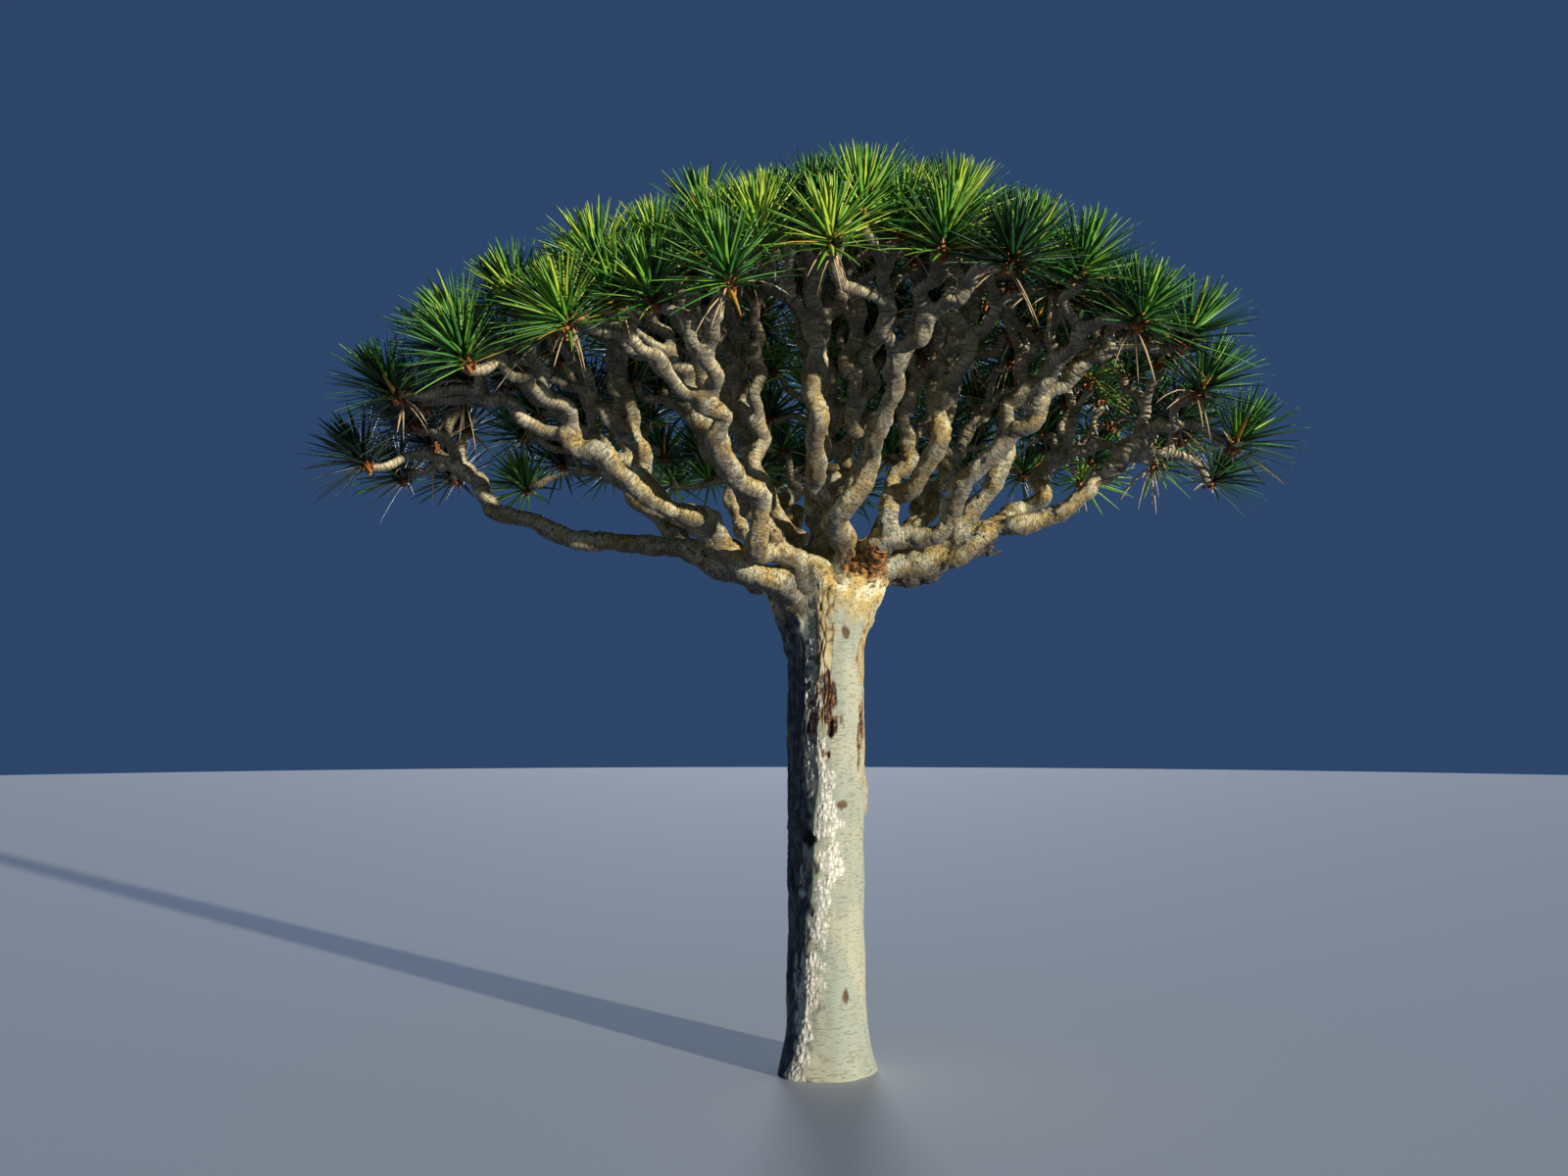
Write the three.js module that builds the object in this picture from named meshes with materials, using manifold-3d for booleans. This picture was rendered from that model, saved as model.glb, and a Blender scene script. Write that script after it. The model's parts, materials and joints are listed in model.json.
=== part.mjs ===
// Dragon blood tree, whole and rooted: one stout trunk, boughs that spread like the ribs of an
// umbrella, and a crown of sword-leaved rosettes at their tips. Millimetres, +Z up. The middle
// of the trunk's flat cut at ground level is the origin. Azimuths are degrees, turned from +X
// towards +Y: the long left bough runs out along 180 and the low right one along 352.

import * as THREE from 'three';
import { mergeVertices } from 'three/addons/utils/BufferGeometryUtils.js';
import Module from 'manifold-3d';

const wasm = await Module();
wasm.setup();

// Running gap between two pieces that touch on the living tree.
const clearance = 0.3;

const trunk = {
  height: 3190,        // top of the head, hidden among the boughs
  shaft: 244,          // radius of the straight shaft
  footFlare: 62,       // extra radius at the ground
  footFade: 190,       // height in which the root flare fades to a third
  neck: 2560,          // where the head starts to swell
  head: 3010,          // where it is widest
  headFlare: 124,      // extra radius there
  dome: 215,           // height of the rounded top
  lean: 12,            // sideways shift of the head
  flutes: 0.035,       // depth of the flutes, as a share of the radius
  sides: 20,
  steps: 20,
};

// The crown's tips lie on a dome, each one the middle of a leaf rosette on the real tree. The
// left bough carries the dome further out and lower, the low right one carries it lower, and
// the rim towards the camera lies a little higher and further in.
const crown = {
  tips: 200,
  reach: 2560,         // from the trunk's middle to the outermost tips
  reachLobes: [[182, 0.17], [352, -0.01], [282, -0.05]],
  rim: 4100,           // height of the outermost tips
  rimLobes: [[184, -410], [352, -340], [284, 280], [243, -100]],
  apex: 5200,          // height of the dome's middle
  jitter: 90,          // how far a tip strays from its even place, along each axis
  leaf: 400,           // length of a leaf
  seed: 20117,
};

// A limb that carries more tips is thicker, as the pipes to each tip add up.
const limbStyle = {
  tipRadius: 26,       // radius of the twig under a single rosette
  thickening: 0.36,    // power of the count of tips by which a limb is thicker
  collar: 0.3,         // swelling at a limb's foot
  collarFade: 0.13,    // share of the limb in which it fades
  sway: 0.075,         // how far a limb wanders, as a share of its length
  turns: 1.6,          // waves of that wandering along a limb
  sides: 7,
  footDepth: 80,       // from the head's middle to the foot of a rim bough, inside the head
  innerDepth: 32,      // and to the foot of an inner one
  footHeight: 2905,
};

// Rings of boughs, from the rim inwards. Each bough heads for the middle of one foliage mass,
// at reach from the trunk, and ends at a share of that way out and a drop below the dome.
const rings = [
  { name: 'rim', azimuths: [181, 217, 246, 286, 316, 350, 22, 60, 100, 142],
    reach: 2280, out: 0.56, drop: 750, elevation: 27, steps: 9 },
  { name: 'middle', azimuths: [168, 203, 238, 268, 310, 346, 40, 86, 128],
    reach: 1620, out: 0.6, drop: 1180, branchAt: 0.36, steps: 7 },
  { name: 'inner', azimuths: [150, 222, 294, 6, 78],
    reach: 930, out: 0.42, drop: 1620, elevation: 55, steps: 5 },
  { name: 'heart', azimuths: [250],
    reach: 220, out: 0.6, drop: 1660, elevation: 84, steps: 5 },
];

// The long left bough and the low right one are straighter and flatter, and end further out.
const armLobes = { elevation: [[181, 1], [350, 4]], out: [[181, 0.2], [350, 0.16]],
                   drop: [[181, -200], [350, -200]], rise: [[181, -0.85], [350, -0.5]],
                   sway: [[181, -0.7], [350, -0.7]] };

// The broken end of a dead bough, low behind the right side.
const stub = { azimuth: 8, reach: 1150, height: 3270, elevation: 42, radius: 62, endRadius: 40,
               steps: 5 };

const twig = {
  forkShare: 0.36,     // of the way from a fork to the middle of its tips, to the next fork
  spread: 1.15,        // how far a fork's two branches lean apart as they leave
  eager: 1.7,          // how long they keep that way, as a share of their length
  upright: 0.45,       // how far a twig turns upwards on its way to its own fork
  outward: 0.25,       // how far the last twigs turn outwards from upright
  sway: 0.075,
  turns: 1,
  thicker: 1.2,        // a three-sided twig's corners lie further out than a round one's side
  sunk: 0.8,           // radii that a twig starts back inside its parent
  steps: 2,
};

const spray = {
  tipsEach: 2,         // tips that one spray stands for
  blades: 12,
  elevations: [38, 4, 68, 4],   // of the blades in turn, the steepest over the twig's edges
  waist: 140,          // radius of the notches between the blades
  notchElevation: 18,
  top: 150,            // from the spray's middle up to its peak
  bottom: 60,          // and down to the end of its twig
  margin: 4,           // kept inside the borders of the spray's own space
};

const colours = { trunkBark: 0xa79c8c, boughBark: 0xa8977d, stubBark: 0x5b4f45, foliage: 0x4d6b2a };

const up = new THREE.Vector3(0, 0, 1);

function radians(degrees) {
  return degrees * Math.PI / 180;
}

// Park-Miller generator: the same seed grows the same tree.
function makeRandom(seed) {
  let state = seed;
  return () => {
    state = state * 48271 % 2147483647;
    return state / 2147483647;
  };
}

function polar(radius, azimuth, height = 0) {
  const angle = radians(azimuth);
  return new THREE.Vector3(radius * Math.cos(angle), radius * Math.sin(angle), height);
}

function aim(azimuth, elevation) {
  return polar(Math.cos(radians(elevation)), azimuth, Math.sin(radians(elevation)));
}

// Sum of bumps round the tree, each given as its azimuth and its height.
function lobed(azimuth, lobes) {
  return lobes.reduce((sum, [centre, gain]) =>
    sum + gain * Math.max(0, Math.cos(radians(azimuth - centre))) ** 8, 0);
}

function crownReach(azimuth) {
  return crown.reach * (1 + lobed(azimuth, crown.reachLobes));
}

function domeHeight(radius, azimuth) {
  const share = radius / crownReach(azimuth);
  const rim = crown.rim + lobed(azimuth, crown.rimLobes);
  return rim + (crown.apex - rim) * (1 - share * share);
}

// The tips fill the dome in a sunflower's spiral, a golden angle apart, each a little off.
function crownTips() {
  const goldenAngle = 137.50776405;
  const random = makeRandom(crown.seed);
  return Array.from({ length: crown.tips }, (_, i) => {
    const azimuth = i * goldenAngle % 360;
    const radius = crownReach(azimuth) * Math.sqrt((i + 0.5) / crown.tips);
    const shift = [0, 0, 0].map(() => (2 * random() - 1) * crown.jitter);
    return polar(radius, azimuth, domeHeight(radius, azimuth)).add(new THREE.Vector3(...shift));
  });
}

function limbRadius(tipCount) {
  return limbStyle.tipRadius * tipCount ** limbStyle.thickening;
}

// A direction square to the given one, worked out from the axis that it leans on least.
function squareTo(direction) {
  const parts = direction.toArray().map(Math.abs);
  const axis = new THREE.Vector3().setComponent(parts.indexOf(Math.min(...parts)), 1);
  return axis.cross(direction).normalize();
}

// A limb's run: a cubic from its foot to its end, leaving and arriving along given
// directions, with a seeded sway that fades out at both ends.
class Run extends THREE.Curve {
  constructor(foot, leave, end, arrive, sway = 0, turns = 1, random = () => 0, eager = 1) {
    super();
    this.foot = foot;
    this.end = end;
    this.span = end.clone().sub(foot);
    this.length = this.span.length();
    this.leave = leave.clone().setLength(this.length * eager);
    this.arrive = arrive.clone().setLength(this.length);
    this.side = squareTo(this.span.clone().normalize());
    this.other = this.span.clone().normalize().cross(this.side);
    this.sway = sway;
    this.turns = turns;
    this.phases = [random(), random()].map((share) => share * 2 * Math.PI);
  }

  getPoint(t, target = new THREE.Vector3()) {
    const t2 = t * t;
    const t3 = t2 * t;
    const offset = this.sway * this.length * Math.sin(Math.PI * t) ** 2;
    const wave = 2 * Math.PI * this.turns * t;
    return target.set(0, 0, 0)
      .addScaledVector(this.foot, 2 * t3 - 3 * t2 + 1)
      .addScaledVector(this.leave, t3 - 2 * t2 + t)
      .addScaledVector(this.end, 3 * t2 - 2 * t3)
      .addScaledVector(this.arrive, t3 - t2)
      .addScaledVector(this.side, offset * Math.sin(wave + this.phases[0]))
      .addScaledVector(this.other, offset * Math.sin(0.75 * wave + this.phases[1]));
  }

  endDirection() {
    return this.getTangent(1);
  }
}

// A vector turned square to a direction by the shortest way.
function squared(vector, direction) {
  return vector.clone().addScaledVector(direction, -vector.dot(direction)).normalize();
}

// A closed cylinder bent along a curve. Its frames are carried on from ring to ring so that it
// doesn't twist. radiusAt gives its radius for a place along the curve and an angle round it,
// placeAt spaces the rings, and gap makes it that much larger all round.
function bentCylinder(curve, { radiusAt, sides, steps, placeAt = (share) => share, gap = 0 }) {
  let side = curve.side;
  const frames = Array.from({ length: steps + 1 }, (_, ring) => {
    const place = placeAt(ring / steps);
    const tangent = curve.getTangent(place);
    const overrun = (ring === steps ? gap : 0) - (ring === 0 ? gap : 0);
    side = squared(side, tangent);
    return { place, side, other: side.clone().cross(tangent),
             point: curve.getPoint(place).addScaledVector(tangent, overrun) };
  });
  const geometry = new THREE.CylinderGeometry(1, 1, 1, sides, steps);
  const position = geometry.attributes.position;
  for (let i = 0; i < position.count; i++) {
    const [x, y, z] = [position.getX(i), position.getY(i), position.getZ(i)];
    const frame = frames[Math.round((y + 0.5) * steps)];
    const radius = radiusAt(frame.place, Math.atan2(z, x)) + gap;
    const vertex = frame.point.clone().addScaledVector(frame.side, x * radius)
      .addScaledVector(frame.other, z * radius);
    position.setXYZ(i, vertex.x, vertex.y, vertex.z);
  }
  return geometry;
}

function toSolid(geometry) {
  geometry.deleteAttribute('normal');
  geometry.deleteAttribute('uv');
  const merged = mergeVertices(geometry, 1e-3);
  return new wasm.Manifold(new wasm.Mesh({
    numProp: 3,
    vertProperties: merged.attributes.position.array,
    triVerts: new Uint32Array(merged.index.array),
  }));
}

function largestBody(solid) {
  return solid.decompose().reduce((best, body) => body.volume() > best.volume() ? body : best);
}

// Names a solid's mesh and places it by its foot.
function toMesh(name, solid, foot, material) {
  const { vertProperties, triVerts } = solid.getMesh();
  const geometry = new THREE.BufferGeometry()
    .setAttribute('position', new THREE.BufferAttribute(new Float32Array(vertProperties), 3))
    .setIndex(new THREE.BufferAttribute(new Uint32Array(triVerts), 1))
    .translate(-foot.x, -foot.y, -foot.z);
  geometry.computeVertexNormals();
  const mesh = new THREE.Mesh(geometry, material);
  mesh.name = name;
  mesh.position.copy(foot);
  return mesh;
}

function bark(colour) {
  return new THREE.MeshStandardMaterial({ color: colour, roughness: 0.9, metalness: 0 });
}

// The trunk's radius: root flare, straight shaft, swelling head and rounded top, with shallow
// flutes that die out upwards.
function trunkRadius(height, angle) {
  const foot = Math.exp(-height / trunk.footFade);
  const swell = THREE.MathUtils.smoothstep(height, trunk.neck, trunk.head);
  const above = Math.max(0, height - (trunk.height - trunk.dome)) / trunk.dome;
  const round = Math.sqrt(Math.max(0, 1 - above ** 2));
  const flutes = Math.sin(3 * angle + 0.8) + 0.7 * Math.sin(5 * angle + 2.1);
  const radius = trunk.shaft + trunk.footFlare * foot + trunk.headFlare * swell;
  return radius * (1 + trunk.flutes * (0.35 + foot) * flutes) * round;
}

function trunkSolid(gap = 0) {
  const topShare = 0.985;
  const top = new THREE.Vector3(trunk.lean, 0, trunk.height * topShare);
  const run = new Run(new THREE.Vector3(), up, top, up);
  const placeAt = (share) => share - 0.11 * Math.sin(2 * Math.PI * share);
  const radiusAt = (place, angle) => trunkRadius(run.getPoint(place).z, angle);
  return toSolid(bentCylinder(run, { ...trunk, radiusAt, placeAt, gap }));
}

// Every bough with the middle of its mass and the tips nearest to it.
function planBoughs() {
  const boughs = rings.flatMap((ring) => ring.azimuths.map((azimuth, i) => {
    const reach = ring.reach * crownReach(azimuth) / crown.reach;
    return { ring, azimuth, name: `${ring.name}_${i + 1}`, tips: [],
             middle: polar(reach, azimuth, domeHeight(reach, azimuth)) };
  }));
  for (const tip of crownTips()) {
    const far = boughs.map((bough) => bough.middle.distanceTo(tip));
    boughs[far.indexOf(Math.min(...far))].tips.push(tip);
  }
  const rim = boughs.filter((bough) => bough.ring.name === 'rim');
  for (const bough of boughs.filter((one) => one.ring.branchAt)) {
    const turns = rim.map((other) => Math.abs((other.azimuth - bough.azimuth + 540) % 360 - 180));
    bough.parent = rim[turns.indexOf(Math.min(...turns))];
  }
  for (const bough of boughs) {
    const carried = boughs.filter((other) => other.parent === bough);
    bough.carries = carried.reduce((sum, other) => sum + other.tips.length, bough.tips.length);
  }
  return boughs;
}

function boughRun(bough, random) {
  const { ring, azimuth, middle, parent } = bough;
  const isRim = ring.name === 'rim';
  const extra = (key) => isRim ? lobed(azimuth, armLobes[key]) : 0;
  const out = Math.hypot(middle.x, middle.y) * (ring.out + extra('out'));
  const end = polar(out, azimuth, middle.z - ring.drop - extra('drop'));
  let foot;
  let leave;
  if (parent) {
    const before = parent.run.getPoint(ring.branchAt - 0.04);
    const after = parent.run.getPoint(ring.branchAt + 0.04);
    foot = parent.run.getPoint(ring.branchAt);
    leave = after.sub(before).normalize().multiplyScalar(0.6).addScaledVector(up, 0.8);
  } else {
    foot = polar(isRim ? limbStyle.footDepth : limbStyle.innerDepth, azimuth, limbStyle.footHeight);
    foot.x += trunk.lean;
    leave = aim(azimuth, ring.elevation + extra('elevation'));
  }
  const arrive = middle.clone().sub(end).setLength(1 + extra('rise'))
    .add(end.clone().sub(foot).normalize());
  const sway = limbStyle.sway * (1 + extra('sway'));
  return new Run(foot, leave, end, arrive, sway, limbStyle.turns, random);
}

function taper(from, to, collar = 0) {
  return (place) => (from + (to - from) * place)
    * (1 + collar * Math.exp(-place / limbStyle.collarFade));
}

// Cuts a limb clear of every solid that stands already, each swollen by the clearance.
function cutClear(solid, standing) {
  const own = solid.boundingBox();
  const near = standing.filter(({ box }) => own.min.every((low, axis) =>
    low <= box.max[axis] && own.max[axis] >= box.min[axis]));
  return largestBody(near.reduce((left, { swollen }) => left.subtract(swollen), solid));
}

function growBoughs(boughs, standing) {
  const random = makeRandom(crown.seed + 1);
  const material = bark(colours.boughBark);
  return boughs.map((bough) => {
    bough.run = boughRun(bough, random);
    const radiusAt = taper(limbRadius(bough.carries), limbRadius(bough.tips.length),
                           limbStyle.collar);
    const shape = { radiusAt, sides: limbStyle.sides, steps: bough.ring.steps };
    const solid = cutClear(toSolid(bentCylinder(bough.run, shape)), standing);
    const swollen = toSolid(bentCylinder(bough.run, { ...shape, gap: clearance }));
    standing.push({ solid, swollen, box: swollen.boundingBox() });
    return toMesh(`bough_${bough.name}`, solid, bough.run.foot, material);
  });
}

function growStub(standing) {
  const foot = polar(limbStyle.footDepth, stub.azimuth, limbStyle.footHeight);
  foot.x += trunk.lean;
  const end = polar(stub.reach, stub.azimuth, stub.height);
  const run = new Run(foot, aim(stub.azimuth, stub.elevation), end, end.clone().sub(foot),
                      limbStyle.sway, limbStyle.turns, makeRandom(crown.seed + 2));
  const shape = { radiusAt: taper(stub.radius, stub.endRadius), sides: limbStyle.sides,
                  steps: stub.steps };
  const solid = cutClear(toSolid(bentCylinder(run, shape)), standing);
  standing.push({ solid, swollen: solid, box: solid.boundingBox() });
  return toMesh('dead_stub', solid, foot, bark(colours.stubBark));
}

// Tips parted in two along the direction in which they spread most.
function partTips(tips) {
  const middle = meanOf(tips);
  const spread = longestSpread(tips.map((tip) => tip.clone().sub(middle)));
  const ordered = tips.map((tip) => [tip, tip.clone().sub(middle).dot(spread)])
    .sort((a, b) => a[1] - b[1])
    .map(([tip]) => tip);
  const half = Math.floor(tips.length / 2);
  return [ordered.slice(0, half), ordered.slice(half)];
}

function meanOf(points) {
  const sum = points.reduce((total, point) => total.add(point), new THREE.Vector3());
  return sum.divideScalar(points.length);
}

// Power iteration on the points' scatter, from a fixed start.
function longestSpread(points) {
  let direction = new THREE.Vector3(1, 0.6, 0.3).normalize();
  for (let round = 0; round < 60; round++) {
    const next = new THREE.Vector3();
    for (const point of points) next.addScaledVector(point, point.dot(direction));
    direction = next.normalize();
  }
  return direction;
}

// Twigs of one mass: from each fork a twig runs part of the way to the middle of its tips and
// forks again, until one spray can stand for what is left. At a fork the first branch goes
// on in the same tube, and the second starts a tube of its own. Both lean apart as they
// leave, towards the middles of their own tips.
function growTwigs(foot, leave, tips, random, tube, tubes) {
  const middle = meanOf(tips);
  const last = tips.length <= spray.tipsEach;
  const end = last ? middle : foot.clone().lerp(middle, twig.forkShare);
  const arrive = last
    ? new THREE.Vector3(middle.x, middle.y, 0).multiplyScalar(twig.outward / 1000).add(up)
    : middle.clone().sub(foot).normalize().multiplyScalar(1 - twig.upright)
      .addScaledVector(up, twig.upright);
  const run = new Run(foot, leave, end, arrive, twig.sway, twig.turns, random, twig.eager);
  tube.push({ run, tipCount: tips.length });
  if (last) {
    tubes.push({ parts: tube, spray: { centre: end, axis: run.endDirection(), tips } });
    return tubes;
  }
  const along = run.endDirection();
  partTips(tips).forEach((half, i) => {
    const away = squared(meanOf(half).sub(middle), along);
    growTwigs(end, along.clone().addScaledVector(away, twig.spread), half, random,
              i === 0 ? tube : [], tubes);
  });
  return tubes;
}

// The borders of one middle's own space, which is all that lies nearer to it than to the others.
function bordersOf(own, others) {
  return others.filter((other) => other !== own).map((other) => ({
    point: own.clone().add(other).multiplyScalar(0.5),
    away: other.clone().sub(own).normalize(),
  }));
}

// How far a point may go from a place in one direction before it crosses a border.
function roomTowards(place, direction, borders) {
  return borders.reduce((room, { point, away }) => {
    const climb = direction.dot(away);
    const left = Math.max(0, point.clone().sub(place).dot(away) - spray.margin);
    return climb > 0 ? Math.min(room, left / climb) : room;
  }, Infinity);
}

// How far the leaves reach from the spray's middle in one direction.
function leafReach({ centre, tips }, direction) {
  return crown.leaf + Math.max(...tips.map((tip) => tip.clone().sub(centre).dot(direction)));
}

// A ring of points round one place of a tube, the first of them turned from side by turn.
function ringAt({ point, side, other }, count, turn, radiusOf) {
  return Array.from({ length: count }, (_, corner) => {
    const angle = 2 * Math.PI * corner / count + turn;
    const outward = side.clone().multiplyScalar(Math.cos(angle))
      .addScaledVector(other, Math.sin(angle));
    return radiusOf(point.clone(), outward, corner);
  });
}

// A closed surface over rings of points: each ring is stitched to the next by walking round
// both, the first is closed by a fan, and the last is a single point.
function skin(rings) {
  const faces = [];
  const starts = [];
  rings.reduce((start, ring) => { starts.push(start); return start + ring.length; }, 0);
  for (let corner = 1; corner < rings[0].length - 1; corner++) faces.push(0, corner, corner + 1);
  for (let level = 0; level < rings.length - 1; level++) {
    const [lower, upper] = [rings[level].length, rings[level + 1].length];
    const at = (above, step) => starts[level + above] + step % rings[level + above].length;
    let [i, j] = [0, 0];
    while (i < lower || j < upper) {
      const alongLower = (i + 1) / lower <= (j + 1) / upper;
      if (alongLower) faces.push(at(0, i), at(1, j), at(0, ++i));
      else if (upper > 1) faces.push(at(0, i), at(1, j), at(1, ++j));
      else j++;
    }
  }
  return new THREE.BufferGeometry().setFromPoints(rings.flat()).setIndex(faces);
}

// One tube of twigs with its spray, as a single closed surface: three-sided rings along the
// runs, the last of them just under the spray's middle, then a toothed belt of blade tips
// and notches, kept within the borders, and the spray's top.
function twigWithSpray({ parts, spray: one }, borders, sunk) {
  const stations = parts.flatMap(({ run, tipCount }, index) => {
    const isLast = index === parts.length - 1;
    return Array.from({ length: twig.steps }, (_, step) => {
      const share = (step + 1) / twig.steps;
      const place = isLast && share === 1 ? 1 - spray.bottom / run.length : share;
      return { point: run.getPoint(place), tangent: run.getTangent(place),
               radius: limbRadius(isLast ? 1 : tipCount) };
    });
  });
  const { run, tipCount } = parts[0];
  const tangent = run.getTangent(0);
  const radius = limbRadius(tipCount);
  const foot = run.foot.clone().addScaledVector(tangent, -sunk * radius);
  let side = run.side;
  const rings = [{ point: foot, tangent, radius }, ...stations].map((station) => {
    side = squared(side, station.tangent);
    const frame = { ...station, side, other: side.clone().cross(station.tangent) };
    return ringAt(frame, 3, 0, (point, outward) =>
      point.addScaledVector(outward, station.radius * twig.thicker));
  });
  side = squared(side, one.axis);
  const frame = { point: one.centre, side, other: side.clone().cross(one.axis) };
  const placed = (direction, wanted) => one.centre.clone()
    .addScaledVector(direction, Math.min(wanted, roomTowards(one.centre, direction, borders)));
  const beltCount = 2 * spray.blades;
  const belt = ringAt(frame, beltCount, -Math.PI / 3, (_, outward, step) => {
    const isBlade = step % 2 === 0;
    const tilt = radians(isBlade ? spray.elevations[step / 2 % spray.elevations.length]
                                 : spray.notchElevation);
    const direction = outward.multiplyScalar(Math.cos(tilt)).addScaledVector(one.axis, Math.sin(tilt));
    return placed(direction, isBlade ? leafReach(one, direction) : spray.waist);
  });
  return toSolid(skin([...rings, belt, [placed(one.axis, spray.top)]]));
}

// One foliage mass: the tube that starts as its stem, and the twigs fused to it. A twig that
// would touch a limb or a mass that stands already is skipped with its spray.
function growMass(bough, index, middles, standing) {
  const direction = bough.run.endDirection();
  const foot = bough.run.end.clone().addScaledVector(direction, clearance);
  const random = makeRandom(crown.seed + 7919 * (index + 1));
  const tubes = growTwigs(foot, direction, bough.tips, random, [], []);
  const massBorders = bordersOf(bough.middle, middles);
  const centres = tubes.map((tube) => tube.spray.centre);
  const solids = tubes.map((tube, i) => {
    const borders = [...massBorders, ...bordersOf(tube.spray.centre, centres)];
    return twigWithSpray(tube, borders, i === 0 ? 0 : twig.sunk);
  });
  const isClear = (solid) => standing.every((other) => solid.minGap(other.solid, 1) >= clearance / 2);
  return { solid: largestBody(wasm.Manifold.union(solids.filter(isClear))), foot };
}

const tree = new THREE.Group();
const trunkPiece = trunkSolid();
const standing = [{ solid: trunkPiece, swollen: trunkSolid(clearance) }];
standing[0].box = standing[0].swollen.boundingBox();
tree.add(toMesh('trunk', trunkPiece, new THREE.Vector3(), bark(colours.trunkBark)));

const boughPlans = planBoughs();
const boughGroup = new THREE.Group();
boughGroup.add(...growBoughs(boughPlans, standing), growStub(standing));
tree.add(boughGroup);

const foliage = new THREE.Group();
const leafMaterial = new THREE.MeshStandardMaterial({ color: colours.foliage, roughness: 0.6,
                                                      metalness: 0 });
const middles = boughPlans.map((bough) => bough.middle);
boughPlans.forEach((bough, index) => {
  const { solid, foot } = growMass(bough, index, middles, standing);
  standing.push({ solid, swollen: solid, box: solid.boundingBox() });
  foliage.add(toMesh(`foliage_${bough.name}`, solid, foot, leafMaterial));
});
tree.add(foliage);

export default tree;
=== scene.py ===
# Dragon blood tree, whole and rooted: trunk and boughs with the relief of their bark, twigs that
# fork on to every rosette, and stiff sword leaves. Metres, +Z up, azimuths in degrees from +X
# towards +Y. The camera stands at -Y.

import itertools
import json
import math

import bpy
import numpy as np
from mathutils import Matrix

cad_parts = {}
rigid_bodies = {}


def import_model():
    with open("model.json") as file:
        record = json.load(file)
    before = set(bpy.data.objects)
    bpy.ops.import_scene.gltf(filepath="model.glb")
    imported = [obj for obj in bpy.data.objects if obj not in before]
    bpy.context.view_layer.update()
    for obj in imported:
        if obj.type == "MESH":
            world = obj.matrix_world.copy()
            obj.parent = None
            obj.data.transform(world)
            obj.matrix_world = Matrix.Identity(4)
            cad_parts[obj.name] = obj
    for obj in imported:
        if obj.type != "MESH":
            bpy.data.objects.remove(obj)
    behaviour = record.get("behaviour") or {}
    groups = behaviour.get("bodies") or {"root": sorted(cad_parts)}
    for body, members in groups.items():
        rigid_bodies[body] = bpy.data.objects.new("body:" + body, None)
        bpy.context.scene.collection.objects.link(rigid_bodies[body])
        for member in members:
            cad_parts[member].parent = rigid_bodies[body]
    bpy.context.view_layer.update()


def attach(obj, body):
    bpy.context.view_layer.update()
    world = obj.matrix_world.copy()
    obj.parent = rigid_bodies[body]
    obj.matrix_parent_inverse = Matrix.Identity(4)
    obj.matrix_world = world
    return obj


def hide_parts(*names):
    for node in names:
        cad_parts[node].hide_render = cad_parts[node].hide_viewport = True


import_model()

up = np.array([0.0, 0.0, 1.0])

trunk = {
    "height": 3.19,       # top of the head, hidden among the boughs
    "shaft": 0.244,       # radius of the straight shaft
    "footFlare": 0.062,   # extra radius at the ground
    "footFade": 0.19,     # height in which the root flare fades to a third
    "neck": 2.56,         # where the head starts to swell
    "head": 3.01,         # where it is widest
    "headFlare": 0.124,   # extra radius there
    "dome": 0.215,        # height of the rounded top
    "lean": 0.012,        # sideways shift of the head
    "flutes": 0.035,      # depth of the flutes, as a share of the radius
}

# The crown's tips lie on a dome, each one the middle of a leaf rosette.
crown = {
    "tips": 200,
    "turn": 137.50776405,  # degrees from one tip to the next, the golden angle
    "reach": 2.56,         # from the axis to the outermost tips
    "reachLobes": [(182, 0.17), (352, -0.01), (282, -0.05)],    # azimuth and share added there
    "rim": 4.1,            # height of the outermost tips
    "rimLobes": [(184, -0.41), (352, -0.34), (284, 0.28), (243, -0.1)],    # and metres added
    "apex": 5.2,
    "jitter": 0.09,        # most that a tip is off its place, on each axis
    "seed": 20117,
}

limb = {
    "tipRadius": 0.026,   # the twig under a single rosette
    "thickening": 0.36,   # power of the count of tips by which a limb is thicker
    "collar": 0.3,        # swelling at a limb's foot
    "collarFade": 0.13,   # share of the limb in which it fades
    "sway": 0.075,        # how far a limb strays to either side, as a share of its length
    "turns": 1.6,         # waves of that sway
    "footDepth": 0.08,    # from the trunk's axis to where the rim's boughs start in its head
    "innerDepth": 0.032,  # the same for the steep boughs
    "footHeight": 2.905,
    "branchAlong": 0.6,   # how far a branch leaves along its parent
    "branchUp": 0.8,      # and how far upwards
}

rings = [
    {"name": "rim", "azimuths": [181, 217, 246, 286, 316, 350, 22, 60, 100, 142],
     "reach": 2.28, "out": 0.56, "drop": 0.75, "elevation": 27, "crook": 0.35},
    {"name": "middle", "azimuths": [168, 203, 238, 268, 310, 346, 40, 86, 128],
     "reach": 1.62, "out": 0.6, "drop": 1.18, "branchAt": 0.36, "crook": 0.45},
    {"name": "inner", "azimuths": [150, 222, 294, 6, 78],
     "reach": 0.93, "out": 0.42, "drop": 1.62, "elevation": 55, "crook": 0.45},
    {"name": "heart", "azimuths": [250],
     "reach": 0.22, "out": 0.6, "drop": 1.66, "elevation": 84, "crook": 0.45},
]

# The long left bough and the low right one are straighter and flatter, and end further out.
armLobes = {"elevation": [(181, 1), (350, 4)], "out": [(181, 0.2), (350, 0.16)],
            "drop": [(181, -0.2), (350, -0.2)], "rise": [(181, -0.85), (350, -0.5)],
            "sway": [(181, -0.7), (350, -0.7)]}

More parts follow.
